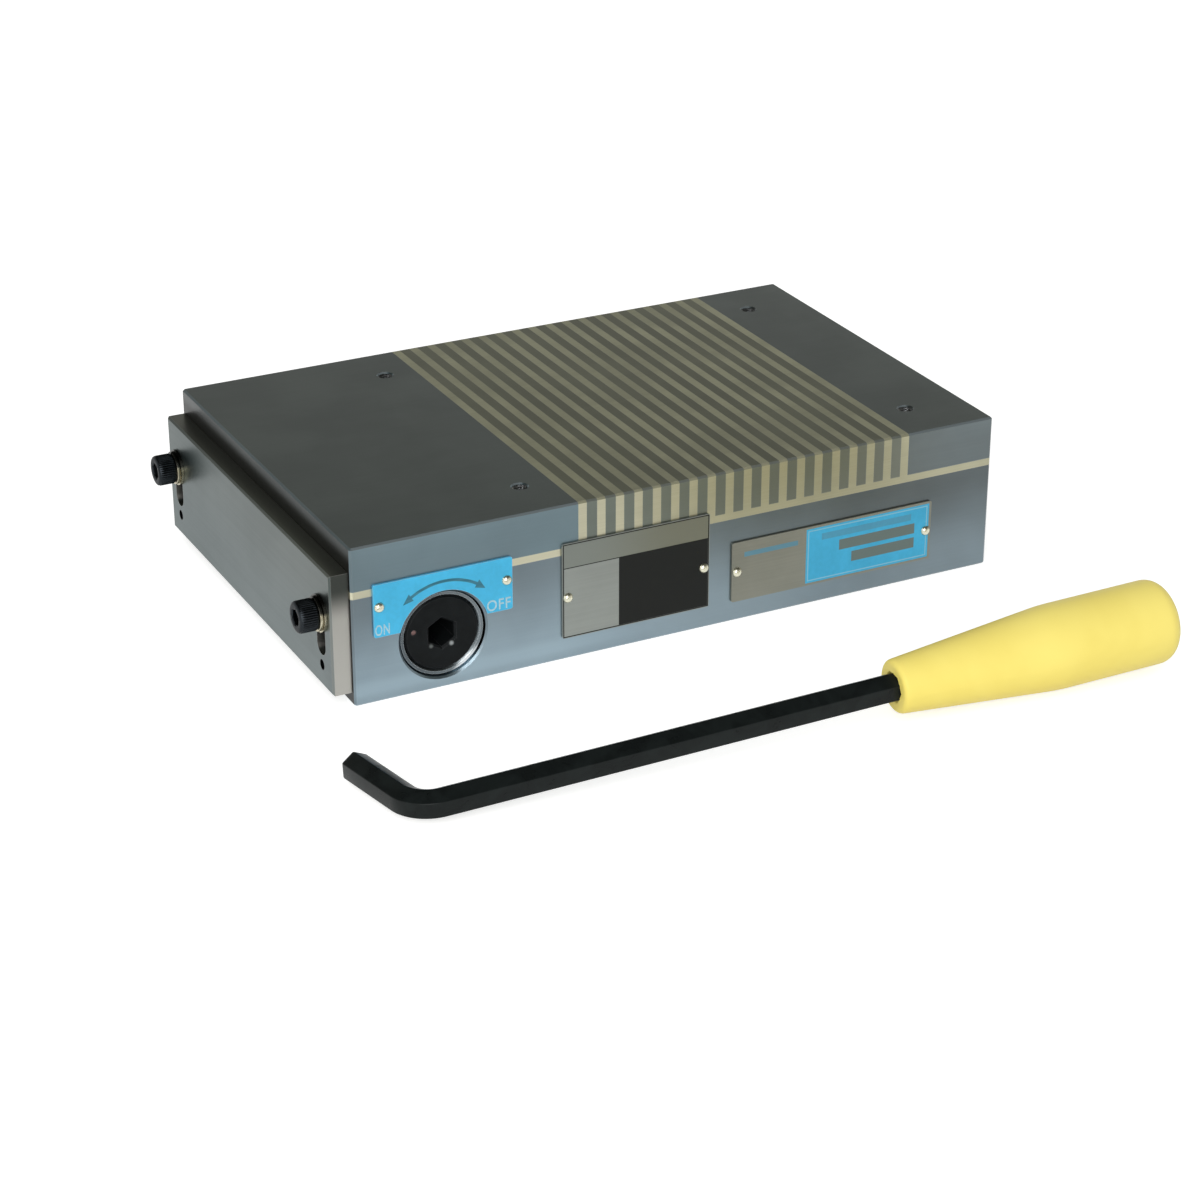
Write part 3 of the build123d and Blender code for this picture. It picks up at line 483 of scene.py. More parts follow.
index_radius = 8.0 * mm
index_angle = radians(168.0)
dimple_y = head_y + 0.3 * mm
dot_centre = (shaft_x + index_radius * cos(index_angle), dimple_y,
              shaft_z + index_radius * sin(index_angle))
dot_radius, dot_rise, dot_back = 0.72 * mm, 0.18 * mm, 0.01 * mm
red_paint = grained("red_paint", (0.20, 0.115, 0.105), (0.13, 0.075, 0.07), 0.5, 2200.0, 0.01 * mm,
                    Specular_IOR_Level=0.4)
dot_grid = paint_drop(dot_centre, dot_radius, dot_rise, dot_back)
index_dot = mesh_of("index_dot", dot_grid, red_paint, around=True)
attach(index_dot, "switch_shaft")

# Stop screw in the underside, body screws in their counterbores, and the fork's screws: blackened
# screws that clamp the three layers from below.
screw_black = black_oxide("screw_black", (0.006, 0.007, 0.008), (0.012, 0.013, 0.015), 0.3)
dress(screw_black, "stop_screw", "body_screws", "fork_screws")


# Brass: the spacer under the pole plate, the carriage tray, the guide strips, and the separators
# that stand between the laminations. It is ground flush with the steel and has gone a little green.
def ground_brass(name, left_side, right_side, work_face_shade, painted_edge_tone, rough):
    """Ground brass, mixed by faint grinding lines and slow tarnish. Its sides darken from left to right,
    the work face is painted darker as shade, and its broken edges are matt with a painted tone of their
    own."""
    material, tree, shader, where = new_material(name, Metallic=1.0)
    marks = use(tree, grinding_lines, where, Fineness=2600.0)
    film = clouds(tree, where, 40.0)
    share = blend(tree, marks["Lines"], 0.3, film)
    rightward = along_axis(tree, where, 0, -34 * mm, 22 * mm)
    side = tint(tree, rightward, two_tone(tree, share, left_side, 0.1),
                two_tone(tree, share, right_side, 0.1))
    # Painted shade: the work face is darker than the sides.
    body = tint(tree, faces(tree, (0.0, 0.0, 1.0)), side, two_tone(tree, share, work_face_shade, 0.12))
    # Painted light: the chamfers of the long sides get a matt tone between the work face and the side.
    body = matt_painted_edge(tree, shader, body, painted_edge_tone)
    finish(tree, shader, body, share, -0.05, rough, marks["Height"], 0.002 * mm)
    return material


brass = ground_brass("ground_brass", (0.55, 0.53, 0.395), (0.39, 0.378, 0.272), (0.42, 0.43, 0.295),
                     (0.21, 0.205, 0.135), 0.38)
dress(brass, "brass_spacer", "brass_separators", "guide_strips", "carriage_frame")

# Pole plate: two solid steel ends and eighteen laminations, ground as one face with the brass. The
# work face is painted darker than the sides, as painted shade.
block_steel = ground_steel("pole_block_steel", (0.205, 0.305, 0.355), (0.138, 0.160, 0.165), 0.36,
                           work_face_shade=(0.099, 0.126, 0.124), left_end_shade=painted_end_shade, left_rim_shade=painted_end_rim_shade,
                           painted_edge_tone=(0.105, 0.125, 0.13))
dress(block_steel, "left_pole_block", "right_pole_block")
lamination_steel = ground_steel("lamination_steel", (0.17, 0.20, 0.18), (0.176, 0.189, 0.165), 0.36,
                                work_face_shade=(0.150, 0.163, 0.112), painted_edge_tone=(0.10, 0.11, 0.095))
dress(lamination_steel, "pole_laminations")


# Threads in the four holes of the work face. Each is a thin sleeve that lines its hole: M4, cut
# with a pitch of 0.7 mm, bright where the tap has passed.
def thread_sleeve(centre, top, bottom, major, minor, pitch):
    """A closed sleeve round a vertical axis. Its outer wall is a cylinder. The inner wall's radius is
    r = minor + (major - minor) |1 - 2 f|, where f is the fraction of z / pitch + angle / turn."""
    angle = np.linspace(0.0, 2 * pi, 48, endpoint=False)
    depth = np.linspace(bottom, top, 85)
    phase = (depth[:, None] / pitch + angle[None, :] / (2 * pi)) % 1.0
    inner = minor + (major - minor) * np.abs(1 - 2 * phase)
    inner[0] = inner[-1] = major
    radius = np.concatenate([inner, np.full((2, angle.size), major * 1.004)])
    height = np.concatenate([depth, [top, bottom]])
    return np.stack([centre[0] + radius * np.cos(angle), centre[1] + radius * np.sin(angle),
                     np.repeat(height[:, None], angle.size, axis=1)], axis=-1)


field_low, field_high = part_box("brass_separators")
work_face_z = field_high.z
field_x = (field_low.x + field_high.x) / 2
hole_past_field, hole_from_edge = 8.9 * mm, 16.2 * mm
hole_x = (field_high.x - field_low.x) / 2 + hole_past_field
hole_y = field_high.y - hole_from_edge
thread_top, thread_bottom = work_face_z - 0.45 * mm, work_face_z - 8.9 * mm
thread_major, thread_minor, thread_pitch = 1.99 * mm, 1.66 * mm, 0.7 * mm
tapped_steel = machined("tapped_steel", (0.14, 0.145, 0.15), (0.30, 0.31, 0.32), 0.35)
for number, (side_x, side_y) in enumerate(((-1, -1), (1, -1), (-1, 1), (1, 1)), 1):
    sleeve = thread_sleeve((field_x + side_x * hole_x, side_y * hole_y), thread_top, thread_bottom,
                           thread_major, thread_minor, thread_pitch)
    thread = mesh_of(f"hole_thread_{number}", sleeve, tapped_steel, around=True, along=True)
    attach(thread, "chuck")


# Switch plate: blue anodised aluminium round the shaft's head. A double-headed arrow and the words
# for the two ends of the half turn stand in bare metal.
def blue_print(tree, where, colour):
    """The blue of a plate, slightly uneven, as a colour output."""
    grain = use(tree, fine_grain, where, Scale=900.0)
    film = clouds(tree, where, 70.0)
    share = blend(tree, grain["Mask"], 0.35, film)
    return two_tone(tree, share, colour, 0.08)


blue_plate, tree, shader, where = new_material("blue_plate", Metallic=0.25, Roughness=0.38)
blue = blue_print(tree, where, (0.055, 0.455, 0.73))
blue = worn_and_lit_edges(tree, blue, 0.25 * mm, 0.7, (0.45, 0.47, 0.48))
tree.links.new(blue, shader["Base Color"])
brushed = use(tree, grinding_lines, where, Fineness=3000.0)
tree.links.new(relief(tree, brushed["Height"], 0.006 * mm), shader["Normal"])
dress(blue_plate, "switch_plate")

plate_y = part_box("switch_plate")[0].y
print_thickness = 0.03 * mm
arrow_grey = machined("arrow_metal", (0.05, 0.175, 0.235), (0.07, 0.22, 0.29), 0.45, 2600.0)
letter_metal = machined("letter_metal", (0.32, 0.52, 0.60), (0.42, 0.61, 0.68), 0.4, 2600.0)


def flat_print(name, outline_low, outline_high, material, face_y):
    """A thin printed figure between two outlines of x and z: a ribbon on the plate's face that is
    closed over its thickness."""
    front = face_y - print_thickness
    rings = [np.stack([o[:, 0], np.full(len(o), y), o[:, 1]], axis=-1)
             for o, y in ((outline_low, front), (outline_high, front), (outline_high, face_y),
                          (outline_low, face_y))]
    return mesh_of(name, np.stack(rings), material, along=True, crease=20.0)


def turn_arrow(centre, radius, half_angle, width, head_length, head_width):
    """A double-headed arrow on an arc: at angle a from the top its half width is the shaft's, and
    within a head's length of either end it is the head's, falling in a straight line to nothing."""
    head, step = head_length / radius, 1e-5
    shaft = np.linspace(-half_angle + head, half_angle - head, 40)
    a = np.concatenate([[-half_angle, -half_angle + head - step], shaft,
                        [half_angle - head + step, half_angle]])
    from_tip = half_angle - np.abs(a)
    half = np.where(from_tip < head, head_width / 2 * from_tip / head, width / 2)
    x, z = np.sin(a), np.cos(a)
    low = np.stack([centre[0] + (radius - half) * x, centre[1] + (radius - half) * z], axis=-1)
    high = np.stack([centre[0] + (radius + half) * x, centre[1] + (radius + half) * z], axis=-1)
    return low, high


arrow_centre = (shaft_x + 0.2 * mm, shaft_z - 1.85 * mm)
arrow_radius, arrow_half_angle = 17.1 * mm, radians(42.0)
arrow_width, arrow_head_length, arrow_head_width = 0.8 * mm, 2.9 * mm, 2.4 * mm
arrow_low, arrow_high = turn_arrow(arrow_centre, arrow_radius, arrow_half_angle,
                                   arrow_width, arrow_head_length, arrow_head_width)
switch_arrow = flat_print("switch_arrow", arrow_low, arrow_high, arrow_grey, plate_y)
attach(switch_arrow, "chuck")


def lettering(name, words, left, right, low, high, face_y, material):
    """Printed lettering on the front: a text, made a mesh, then stretched into its box on the face by
    its vertices."""
    curve = bpy.data.curves.new(name, "FONT")
    curve.body = words
    curve.space_character = 1.1
    curve.extrude = 0.5
    curve.offset = 0.012
    made = into_scene(name + "_text", curve)
    mesh = bpy.data.meshes.new_from_object(made.evaluated_get(bpy.context.evaluated_depsgraph_get()))
    bpy.data.objects.remove(made)
    mesh.name = name
    flat = np.empty(3 * len(mesh.vertices))
    mesh.vertices.foreach_get("co", flat)
    flat = flat.reshape(-1, 3)
    share = (flat - flat.min(axis=0)) / (flat.max(axis=0) - flat.min(axis=0))
    laid = np.stack([left + (right - left) * share[:, 0], face_y - print_thickness * share[:, 2],
                     low + (high - low) * share[:, 1]], axis=-1)
    mesh.vertices.foreach_set("co", laid.ravel())
    close_up(mesh)
    mesh.materials.clear()
    mesh.materials.append(material)
    return into_scene(name, mesh)


for name, words, left, right, low, high in (("on_lettering", "ON", -89.0, -85.0, 18.9, 21.9),
                                            ("off_lettering", "OFF", -58.0, -51.3, 18.9, 22.0)):
    letters = lettering(name, words, left * mm, right * mm, low * mm, high * mm, plate_y, letter_metal)
    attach(letters, "chuck")


# Middle plate: an aluminium plate with a silver band over a silver and a black field. The fields
# stay bare. Thin dark lines frame them. Sizes on the plate are in millimetres.
def make_field_mask():
    """One inside a rectangle of X and Z, zero outside, with a soft border. The mask is the product of
    two steps of the distance from the centre."""
    group, given, result = effect("field_mask", {"Vector": None, "Centre X": 0.0, "Centre Z": 0.0,
                                                 "Half Width": 0.01, "Half Height": 0.01,
                                                 "Border": 0.00008}, ("Mask",))
    apart = place(group, "ShaderNodeSeparateXYZ", given["Vector"]).outputs
    steps = []
    for axis, centre, half in ((0, "Centre X", "Half Width"), (2, "Centre Z", "Half Height")):
        off = calc(group, "ABSOLUTE", calc(group, "SUBTRACT", apart[axis], given[centre]))
        inside = calc(group, "SUBTRACT", given[half], off)
        steps.append(calc(group, "DIVIDE", inside, given["Border"]))
    both = calc(group, "MULTIPLY", *[place(group, "ShaderNodeClamp", step).outputs[0] for step in steps])
    group.links.new(both, result["Mask"])
    return group


field_mask = make_field_mask()


def field(tree, where, left, right, low, high):
    """The mask of a field given by its edges in millimetres."""
    return use(tree, field_mask, where, **{
        "Centre X": (left + right) / 2 * mm, "Centre Z": (low + high) / 2 * mm,
        "Half Width": (right - left) / 2 * mm, "Half Height": (high - low) / 2 * mm})["Mask"]


def bare_aluminium(tree, where, dark, light):
    """Satin aluminium in two shades, and the height of its brushing."""
    marks = use(tree, grinding_lines, where, Fineness=2600.0)
    film = clouds(tree, where, 60.0)
    share = blend(tree, marks["Lines"], 0.45, film)
    return tint(tree, share, dark, light), marks["Height"]


middle_print, tree, shader, where = new_material("middle_plate_print", Specular_IOR_Level=0.15)
field_grey, brushing = bare_aluminium(tree, where, (0.257, 0.274, 0.257), (0.285, 0.305, 0.285))
middle_low, middle_high = (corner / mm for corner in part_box("middle_plate"))
rim, line = 0.12, 0.32
header_z, split_x = 26.3, -20.1
left, right = middle_low.x + rim, middle_high.x - rim
low, high = middle_low.z + rim, middle_high.z - rim
header = field(tree, where, left, right, header_z, high)
rightward = along_axis(tree, where, 0, -31 * mm, -2 * mm)
header_grey = tint(tree, rightward, (0.212, 0.230, 0.208), (0.182, 0.186, 0.145))
colour = tint(tree, header, field_grey, header_grey)
border = calc(tree, "SUBTRACT", field(tree, where, left, right, low, high),
              field(tree, where, left + line, right - line, low + line, high - line))
header_line = field(tree, where, left, right, header_z - line / 2, header_z + line / 2)
black_field = field(tree, where, split_x, right - line, low + line, header_z)
ink = calc(tree, "MAXIMUM", calc(tree, "MAXIMUM", border, header_line), black_field)
printed = tint(tree, ink, colour, (0.011, 0.012, 0.011))
raised = calc(tree, "MULTIPLY_ADD", ink, 2.0, brushing)
finish(tree, shader, printed, ink, 0.06, 0.44, raised, 0.003 * mm)
tree.links.new(calc(tree, "MULTIPLY_ADD", ink, -0.7, 0.8), shader["Metallic"])
dress(middle_print, "middle_plate")

# Rating plate: grey aluminium on the left, a blue field on the right with a faint bar and two bare
# boxes where the maker would stamp figures. Nothing is stamped here. Edges are in millimetres.
rating_print, tree, shader, where = new_material("rating_plate_print", Specular_IOR_Level=0.3)
colour, brushing = bare_aluminium(tree, where, (0.206, 0.208, 0.175), (0.237, 0.239, 0.203))
blue_area = field(tree, where, 36.5, 75.3, 6.5, 22.5)
accent = field(tree, where, 17.4, 34.0, 18.5, 20.0)
heading = calc(tree, "MULTIPLY", field(tree, where, 41.3, 69.6, 18.5, 20.5), 0.42)
pale_line = calc(tree, "SUBTRACT", field(tree, where, 37.0, 74.8, 7.0, 22.0),
                 field(tree, where, 37.35, 74.45, 7.35, 21.65))
box_mask = calc(tree, "MAXIMUM", field(tree, where, 46.8, 70.8, 14.4, 17.5),
                field(tree, where, 50.8, 70.8, 10.2, 13.3))
painted = tint(tree, accent, colour, (0.12, 0.25, 0.32))
painted = tint(tree, blue_area, painted, blue_print(tree, where, (0.053, 0.39, 0.63)))
painted = tint(tree, pale_line, painted, (0.20, 0.47, 0.62))
painted = tint(tree, heading, painted, (0.10, 0.16, 0.17))
painted = tint(tree, box_mask, painted, (0.125, 0.165, 0.155))
sunk = calc(tree, "MULTIPLY_ADD", box_mask, -3.0, brushing)
finish(tree, shader, painted, blue_area, -0.05, 0.44, sunk, 0.003 * mm)
tree.links.new(calc(tree, "MULTIPLY_ADD", blue_area, -0.55, 0.8), shader["Metallic"])
dress(rating_print, "rating_plate")

# Drive rivets: six brass drive screws with domed heads, bright from the hammer that drove them. They
# hold the three plates, two to a plate.
rivet_brass = grained("rivet_brass", (0.60, 0.585, 0.45), (0.74, 0.72, 0.58), 0.2, 2600.0, Metallic=1.0)
dress(rivet_brass, "plate_rivets")

# Side stop plate: a flat bar of ground steel that stands up past the work face when it is raised,
# so that workpieces can be laid against it. Its lines run along it. Its face is painted darker towards
# the top as shade and is darker towards the back, its top edge and the lower part of its front end carry
# painted reflections, its edges a painted highlight, and the two small pin holes are painted black as
# shade.
stop_steel, tree, shader, where = new_material("stop_plate_steel", Metallic=1.0)
across = place(tree, "ShaderNodeMapping", where, None, (0.0, 0.0, pi / 2)).outputs[0]
marks = use(tree, grinding_lines, across, Fineness=2600.0)
cloud = clouds(tree, where, 26.0)
share = blend(tree, marks["Lines"], 0.35, cloud)
# Painted shade: darker towards the top.
upper = along_axis(tree, where, 2, 6 * mm, 37 * mm)
low_grey = two_tone(tree, share, (0.107, 0.135, 0.138))
body = tint(tree, upper, low_grey, two_tone(tree, share, (0.087, 0.105, 0.100)))
# Darker towards the back.
to_back = along_axis(tree, where, 1, -55 * mm, 50 * mm)
body = tint(tree, calc(tree, "MULTIPLY", to_back, 0.45), body, (0.050, 0.076, 0.078))
# Painted reflection: the front end face is bright low down and dark towards the top.
end_top = along_axis(tree, where, 2, 24 * mm, 33 * mm)
painted_end_reflection = tint(tree, end_top, (0.38, 0.372, 0.345), (0.057, 0.062, 0.056))
body = tint(tree, faces(tree, (0.0, -1.0, 0.0)), body, painted_end_reflection)
# Painted reflection: the top edge is lighter at the front than at the back.
to_rear = along_axis(tree, where, 1, -50 * mm, 50 * mm)
painted_top_edge = tint(tree, to_rear, (0.24, 0.257, 0.22), (0.125, 0.134, 0.115))
body = tint(tree, faces(tree, (0.0, 0.0, 1.0)), body, painted_top_edge)
# Painted highlight: light lines along the edges and at the slots' lower ends.
body = worn_and_lit_edges(tree, body, 0.35 * mm, 0.35, (0.44, 0.43, 0.40))
# Painted shade: the two small pin holes are black inside.
pin_y, pin_z, pin_radius = 52.0 * mm, 9.75 * mm, 1.4 * mm
apart = place(tree, "ShaderNodeSeparateXYZ", where).outputs
from_pin_y = calc(tree, "SUBTRACT", calc(tree, "ABSOLUTE", apart[1]), pin_y)
from_pin_z = calc(tree, "SUBTRACT", apart[2], pin_z)
off_pin = place(tree, "ShaderNodeCombineXYZ", None, from_pin_y, from_pin_z).outputs[0]
from_pin = place(tree, "ShaderNodeVectorMath", off_pin, operation="LENGTH").outputs["Value"]
outside_pin = ramp(tree, from_pin, pin_radius + 0.02 * mm, pin_radius + 0.15 * mm)
body = tint(tree, outside_pin, (0.010, 0.013, 0.014), body)
finish(tree, shader, body, share, -0.05, 0.38, marks["Height"], 0.002 * mm)
dress(stop_steel, "side_stop_plate")


# Stop plate screws: two M5 socket head cap screws, blackened, with a knurled head. The heads carry
# the knurl that fingers turn, and the shanks show their thread in the slots.
def hexagon_radius(angle, across_flats):
    """Distance from the centre to a hexagon's side, with a corner at angle 0."""
    return across_flats / 2 / np.cos((angle + pi / 6) % (pi / 3) - pi / 6)


def cap_screw(dia, head_dia, head_height, hex_size, hex_depth, length, pitch):
    """A cap screw round its axis: radius and hexagon share are given along a profile from the socket's
    floor over the head to the thread. The knurl adds |sin| ridges, and the thread's radius falls by
    depth |1 - 2 f|, with f the fraction of position / pitch + angle / turn."""
    angle = np.linspace(0.0, 2 * pi, 168, endpoint=False)
    r, hex_r, shank_r = head_dia / 2, hex_size / 2, dia / 2
    top, end = 0.0, head_height + length
    knurl_depth, thread_depth, ridge_pairs = 0.22 * mm, 0.42 * mm, 21
    profile = [(hex_depth + 0.5 * mm, 0.0, 0.0, 0.0), (hex_depth, hex_r, 1.0, 0.0),
               (0.25 * mm, hex_r, 1.0, 0.0), (0.04 * mm, hex_r + 0.25 * mm, 1.0, 0.0),
               (top, hex_r + 0.45 * mm, 0.0, 0.0), (top, r - 0.75 * mm, 0.0, 0.0),
               (0.08 * mm, r - 0.45 * mm, 0.0, 0.0), (0.28 * mm, r - 0.2 * mm, 0.0, 0.0),
               (0.6 * mm, r - 0.1 * mm, 0.0, 0.3)]
    profile += [(a, r, 0.0, 1.0) for a in np.linspace(0.75 * mm, head_height - 0.5 * mm, 5)]
    profile += [(head_height - 0.25 * mm, r - 0.12 * mm, 0.0, 0.3), (head_height, r - 0.3 * mm, 0.0, 0.0),
                (head_height, shank_r + 0.25 * mm, 0.0, 0.0), (head_height + 0.2 * mm, shank_r, 0.0, 0.0)]
    position, radius, share, knurl = (column[:, None] for column in np.array(profile).T)
    ridges = np.abs(np.sin(angle * ridge_pairs)) ** 0.7
    body = radius * (1 - share) + share * hexagon_radius(angle, 2.0) * radius
    body = body - knurl_depth * knurl * (1 - ridges)
    thread_at = np.arange(head_height + 0.6 * mm, end - 0.6 * mm, pitch / 5)
    f = (thread_at[:, None] / pitch + angle / (2 * pi)) % 1.0
    threaded = shank_r - thread_depth * np.abs(1 - 2 * f)
    tip = np.array([[end - 0.4 * mm, shank_r - 0.45 * mm], [end, shank_r - 0.8 * mm], [end, 0.0]])
    rows = np.concatenate([body, threaded, np.repeat(tip[:, 1:], angle.size, axis=1)])
    places = np.concatenate([position[:, 0], thread_at, tip[:, 0]])
    return angle, rows, places


screw_low, screw_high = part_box("stop_plate_screws")
screw_z = (screw_low.z + screw_high.z) / 2
head_dia = 8.5 * mm
screw_y = screw_high.y - head_dia / 2
cap_black = black_oxide("cap_screw_black", (0.017, 0.020, 0.023), (0.032, 0.037, 0.042), 0.26,
                        edge_colour=(0.03, 0.034, 0.038), Metallic=1.0,
                        Specular_Tint=(0.62, 0.62, 0.62, 1.0))
turn, rows, places = cap_screw(dia=5.0 * mm, head_dia=head_dia, head_height=5.0 * mm, hex_size=4.0 * mm,
                               hex_depth=2.5 * mm, length=15.9 * mm, pitch=0.8 * mm)
for number, (side, spin) in enumerate(((-1, 0.21), (1, 0.73)), 1):
    grid = np.stack([screw_low.x + np.repeat(places[:, None], turn.size, axis=1),
                     side * screw_y + rows * np.cos(turn + spin),
                     screw_z + rows * np.sin(turn + spin)], axis=-1)
    screw = mesh_of(f"stop_plate_screw_{number}", grid, cap_black, around=True, crease=32.0)
    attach(screw, "chuck")
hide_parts("stop_plate_screws")


# Washers: a flat one against the plate and a split spring washer under each head, both zinc plated
# and passivated yellow. Their upper halves are painted dark as shade.
zinc_yellow, tree, shader, where = new_material("zinc_yellow", Metallic=1.0)
film = clouds(tree, where, 260.0)
grain = use(tree, fine_grain, where, Scale=2600.0)
gold = tint(tree, film, (0.36, 0.33, 0.23), (0.52, 0.48, 0.36))
# Painted shade: the upper halves are dark.
painted_upper_shade = along_axis(tree, where, 2, screw_z + 0.6 * mm, screw_z + 2.0 * mm)
colour = tint(tree, painted_upper_shade, gold, (0.035, 0.035, 0.03))
finish(tree, shader, colour, grain["Mask"], 0.12, 0.22, grain["Height"], 0.01 * mm)
dress(zinc_yellow, "flat_washers")


def split_washer(inner, outer, thickness, gap, twist):
    """A spring washer: a rounded rectangle carried round a circle from one side of the split to the
    other, while it climbs by the twist. The rounded rectangle is a superellipse |x|^8 + |y|^8 = 1."""
    around = np.linspace(gap / 2, 2 * pi - gap / 2, 72)
    t = np.linspace(0.0, 2 * pi, 28, endpoint=False)
    width = (outer - inner) / 2
    across, up = (np.sign(wave) * np.abs(wave) ** (2 / 8) for wave in (np.cos(t), np.sin(t)))
    ends = np.concatenate([[0.0], np.ones_like(around), [0.0]])
    around = np.concatenate([around[:1], around, around[-1:]])
    radius = (inner + outer) / 2 + width * np.outer(ends, across)
    climb = twist * (around / (2 * pi) - 0.5)
    height = climb[:, None] + thickness / 2 * np.outer(ends, up)
    return radius, height, around


washer_low, washer_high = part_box("spring_washers")
middle_x = (washer_low.x + washer_high.x) / 2
radius, height, around = split_washer(inner=2.75 * mm, outer=4.6 * mm, thickness=0.88 * mm,
                                      gap=radians(13.0), twist=0.1 * mm)
for number, side in enumerate((-1, 1), 1):
    grid = np.stack([middle_x + height, side * screw_y + radius * np.cos(around + pi / 2)[:, None],
                     screw_z + radius * np.sin(around + pi / 2)[:, None]], axis=-1)
    washer = mesh_of(f"spring_washer_{number}", grid, zinc_yellow, around=True, crease=32.0)
    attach(washer, "chuck")
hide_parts("spring_washers")

# Hex lever: a 7 mm hexagon bar, bent hot near its end and blackened. Its rolled corners are slightly
# round, and its free end is rounded off.
across_flats = 7.0 * mm
corner_radius = across_flats / sqrt(3)
grip_radius = 11.2 * mm
shoulder_at = 172.5 * mm
lever_start = Vector((-104.7 * mm, -121.1 * mm, corner_radius))
rise = asin((grip_radius - corner_radius) / shoulder_at)
yaw, leg_yaw = radians(-2.95), radians(101.1)
rod = Vector((cos(yaw) * cos(rise), sin(yaw) * cos(rise), sin(rise)))
leg = Vector((cos(leg_yaw), sin(leg_yaw), 0.0))
upright = rod.cross(leg).normalized()
bend = 8.0 * mm
leg_length = 27.3 * mm
rod_end = 179.4 * mm
end_rounding = 1.3 * mm
round_angle = np.linspace(0.0, pi / 2, 6)


def bar_path(leg_length, rod_end, bend):
    """The bar's centre line: a straight leg whose end is rounded off over a quarter turn, an arc that
    both straights touch, a straight rod. Gives points and directions in the lever's plane as rod and
    side shares."""
    side = (leg - rod * leg.dot(rod)).normalized()
    turn = leg.angle(rod)
    swing = pi - turn
    cut = bend * tan(swing / 2)
    leg_2d = np.array([leg.dot(rod), leg.dot(side)])
    t = np.linspace(0.0, swing, 25)
    centre = np.array([cut, bend])
    arc = centre + bend * np.stack([-np.sin(swing - t), -np.cos(swing - t)], axis=-1)
    arc_way = np.stack([np.cos(swing - t), -np.sin(swing - t)], axis=-1)
    leg_at = np.append(leg_length - end_rounding * (1 - np.cos(round_angle)), (leg_length + cut) / 2)
    rod_at = np.linspace(cut, rod_end, 12)[1:]
    points = np.concatenate([leg_2d * leg_at[:, None], arc, np.stack([rod_at, 0 * rod_at], axis=-1)])
    ways = np.concatenate([np.repeat(-leg_2d[None], len(leg_at), axis=0), arc_way,
                           np.repeat([[1.0, 0.0]], len(rod_at), axis=0)])
    return points, ways, side


def bar_section(across_flats, rounding):
    """A hexagon with round corners: each corner of a smaller hexagon plus an arc of the rounding, with
    a corner along the second axis."""
    corner = (across_flats / 2 - rounding) / cos(pi / 6)
    place_angle = np.repeat(np.arange(6) * pi / 3, 5) + pi / 2
    spread = np.tile(np.linspace(-pi / 6, pi / 6, 5), 6)
    return np.stack([corner * np.cos(place_angle) + rounding * np.cos(place_angle + spread),
                     corner * np.sin(place_angle) + rounding * np.sin(place_angle + spread)], axis=-1)


points, ways, side = bar_path(leg_length, rod_end, bend)
rolled_corner = 0.35 * mm
section = bar_section(across_flats, rolled_corner)
shrink = np.ones(len(points))
shrink[:len(round_angle)] = 1 - 2 * end_rounding * (1 - np.sin(round_angle)) / across_flats
points, ways, shrink = (np.concatenate([a[:1], a, a[-1:]]) for a in (points, ways, shrink))
shrink[0] = shrink[-1] = 0.0
start, rod_way, side_way, up_way = (np.array(vector) for vector in (lever_start, rod, side, upright))
bar_way = ways[:, :1] * rod_way + ways[:, 1:] * side_way
bar_centre = start + points[:, :1] * rod_way + points[:, 1:] * side_way
bar_across = np.cross(up_way, bar_way)
grid = (bar_centre[:, None] + shrink[:, None, None] * (section[:, :1] * bar_across[:, None]
                                                       + section[:, 1:] * up_way))
lever_black = black_oxide("lever_black", (0.005, 0.0065, 0.0064), (0.010, 0.0135, 0.013), 0.27,
                          edge_colour=(0.02, 0.024, 0.025))
lever_bar = mesh_of("lever_bar", grid, lever_black, around=True, crease=28.0)
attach(lever_bar, "lever")
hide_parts("hex_lever")

# Grip: moulded yellow plastic on the end of the rod, a long cone with a round end. A fine parting
# line runs along both sides, where the mould's halves met.
grip_start, grip_end, grip_tip = 127.5 * mm, 206.0 * mm, 208.0 * mm
socket_end = 179.5 * mm


def arc(centre, radius, start, end, count):
    """Points of an arc in the plane of distance along the rod and radius, with hexagon share 0."""
    t = np.radians(np.linspace(start, end, count))
    return [(centre[0] + radius * c, centre[1] + radius * s, 0.0) for c, s in zip(np.cos(t), np.sin(t))]


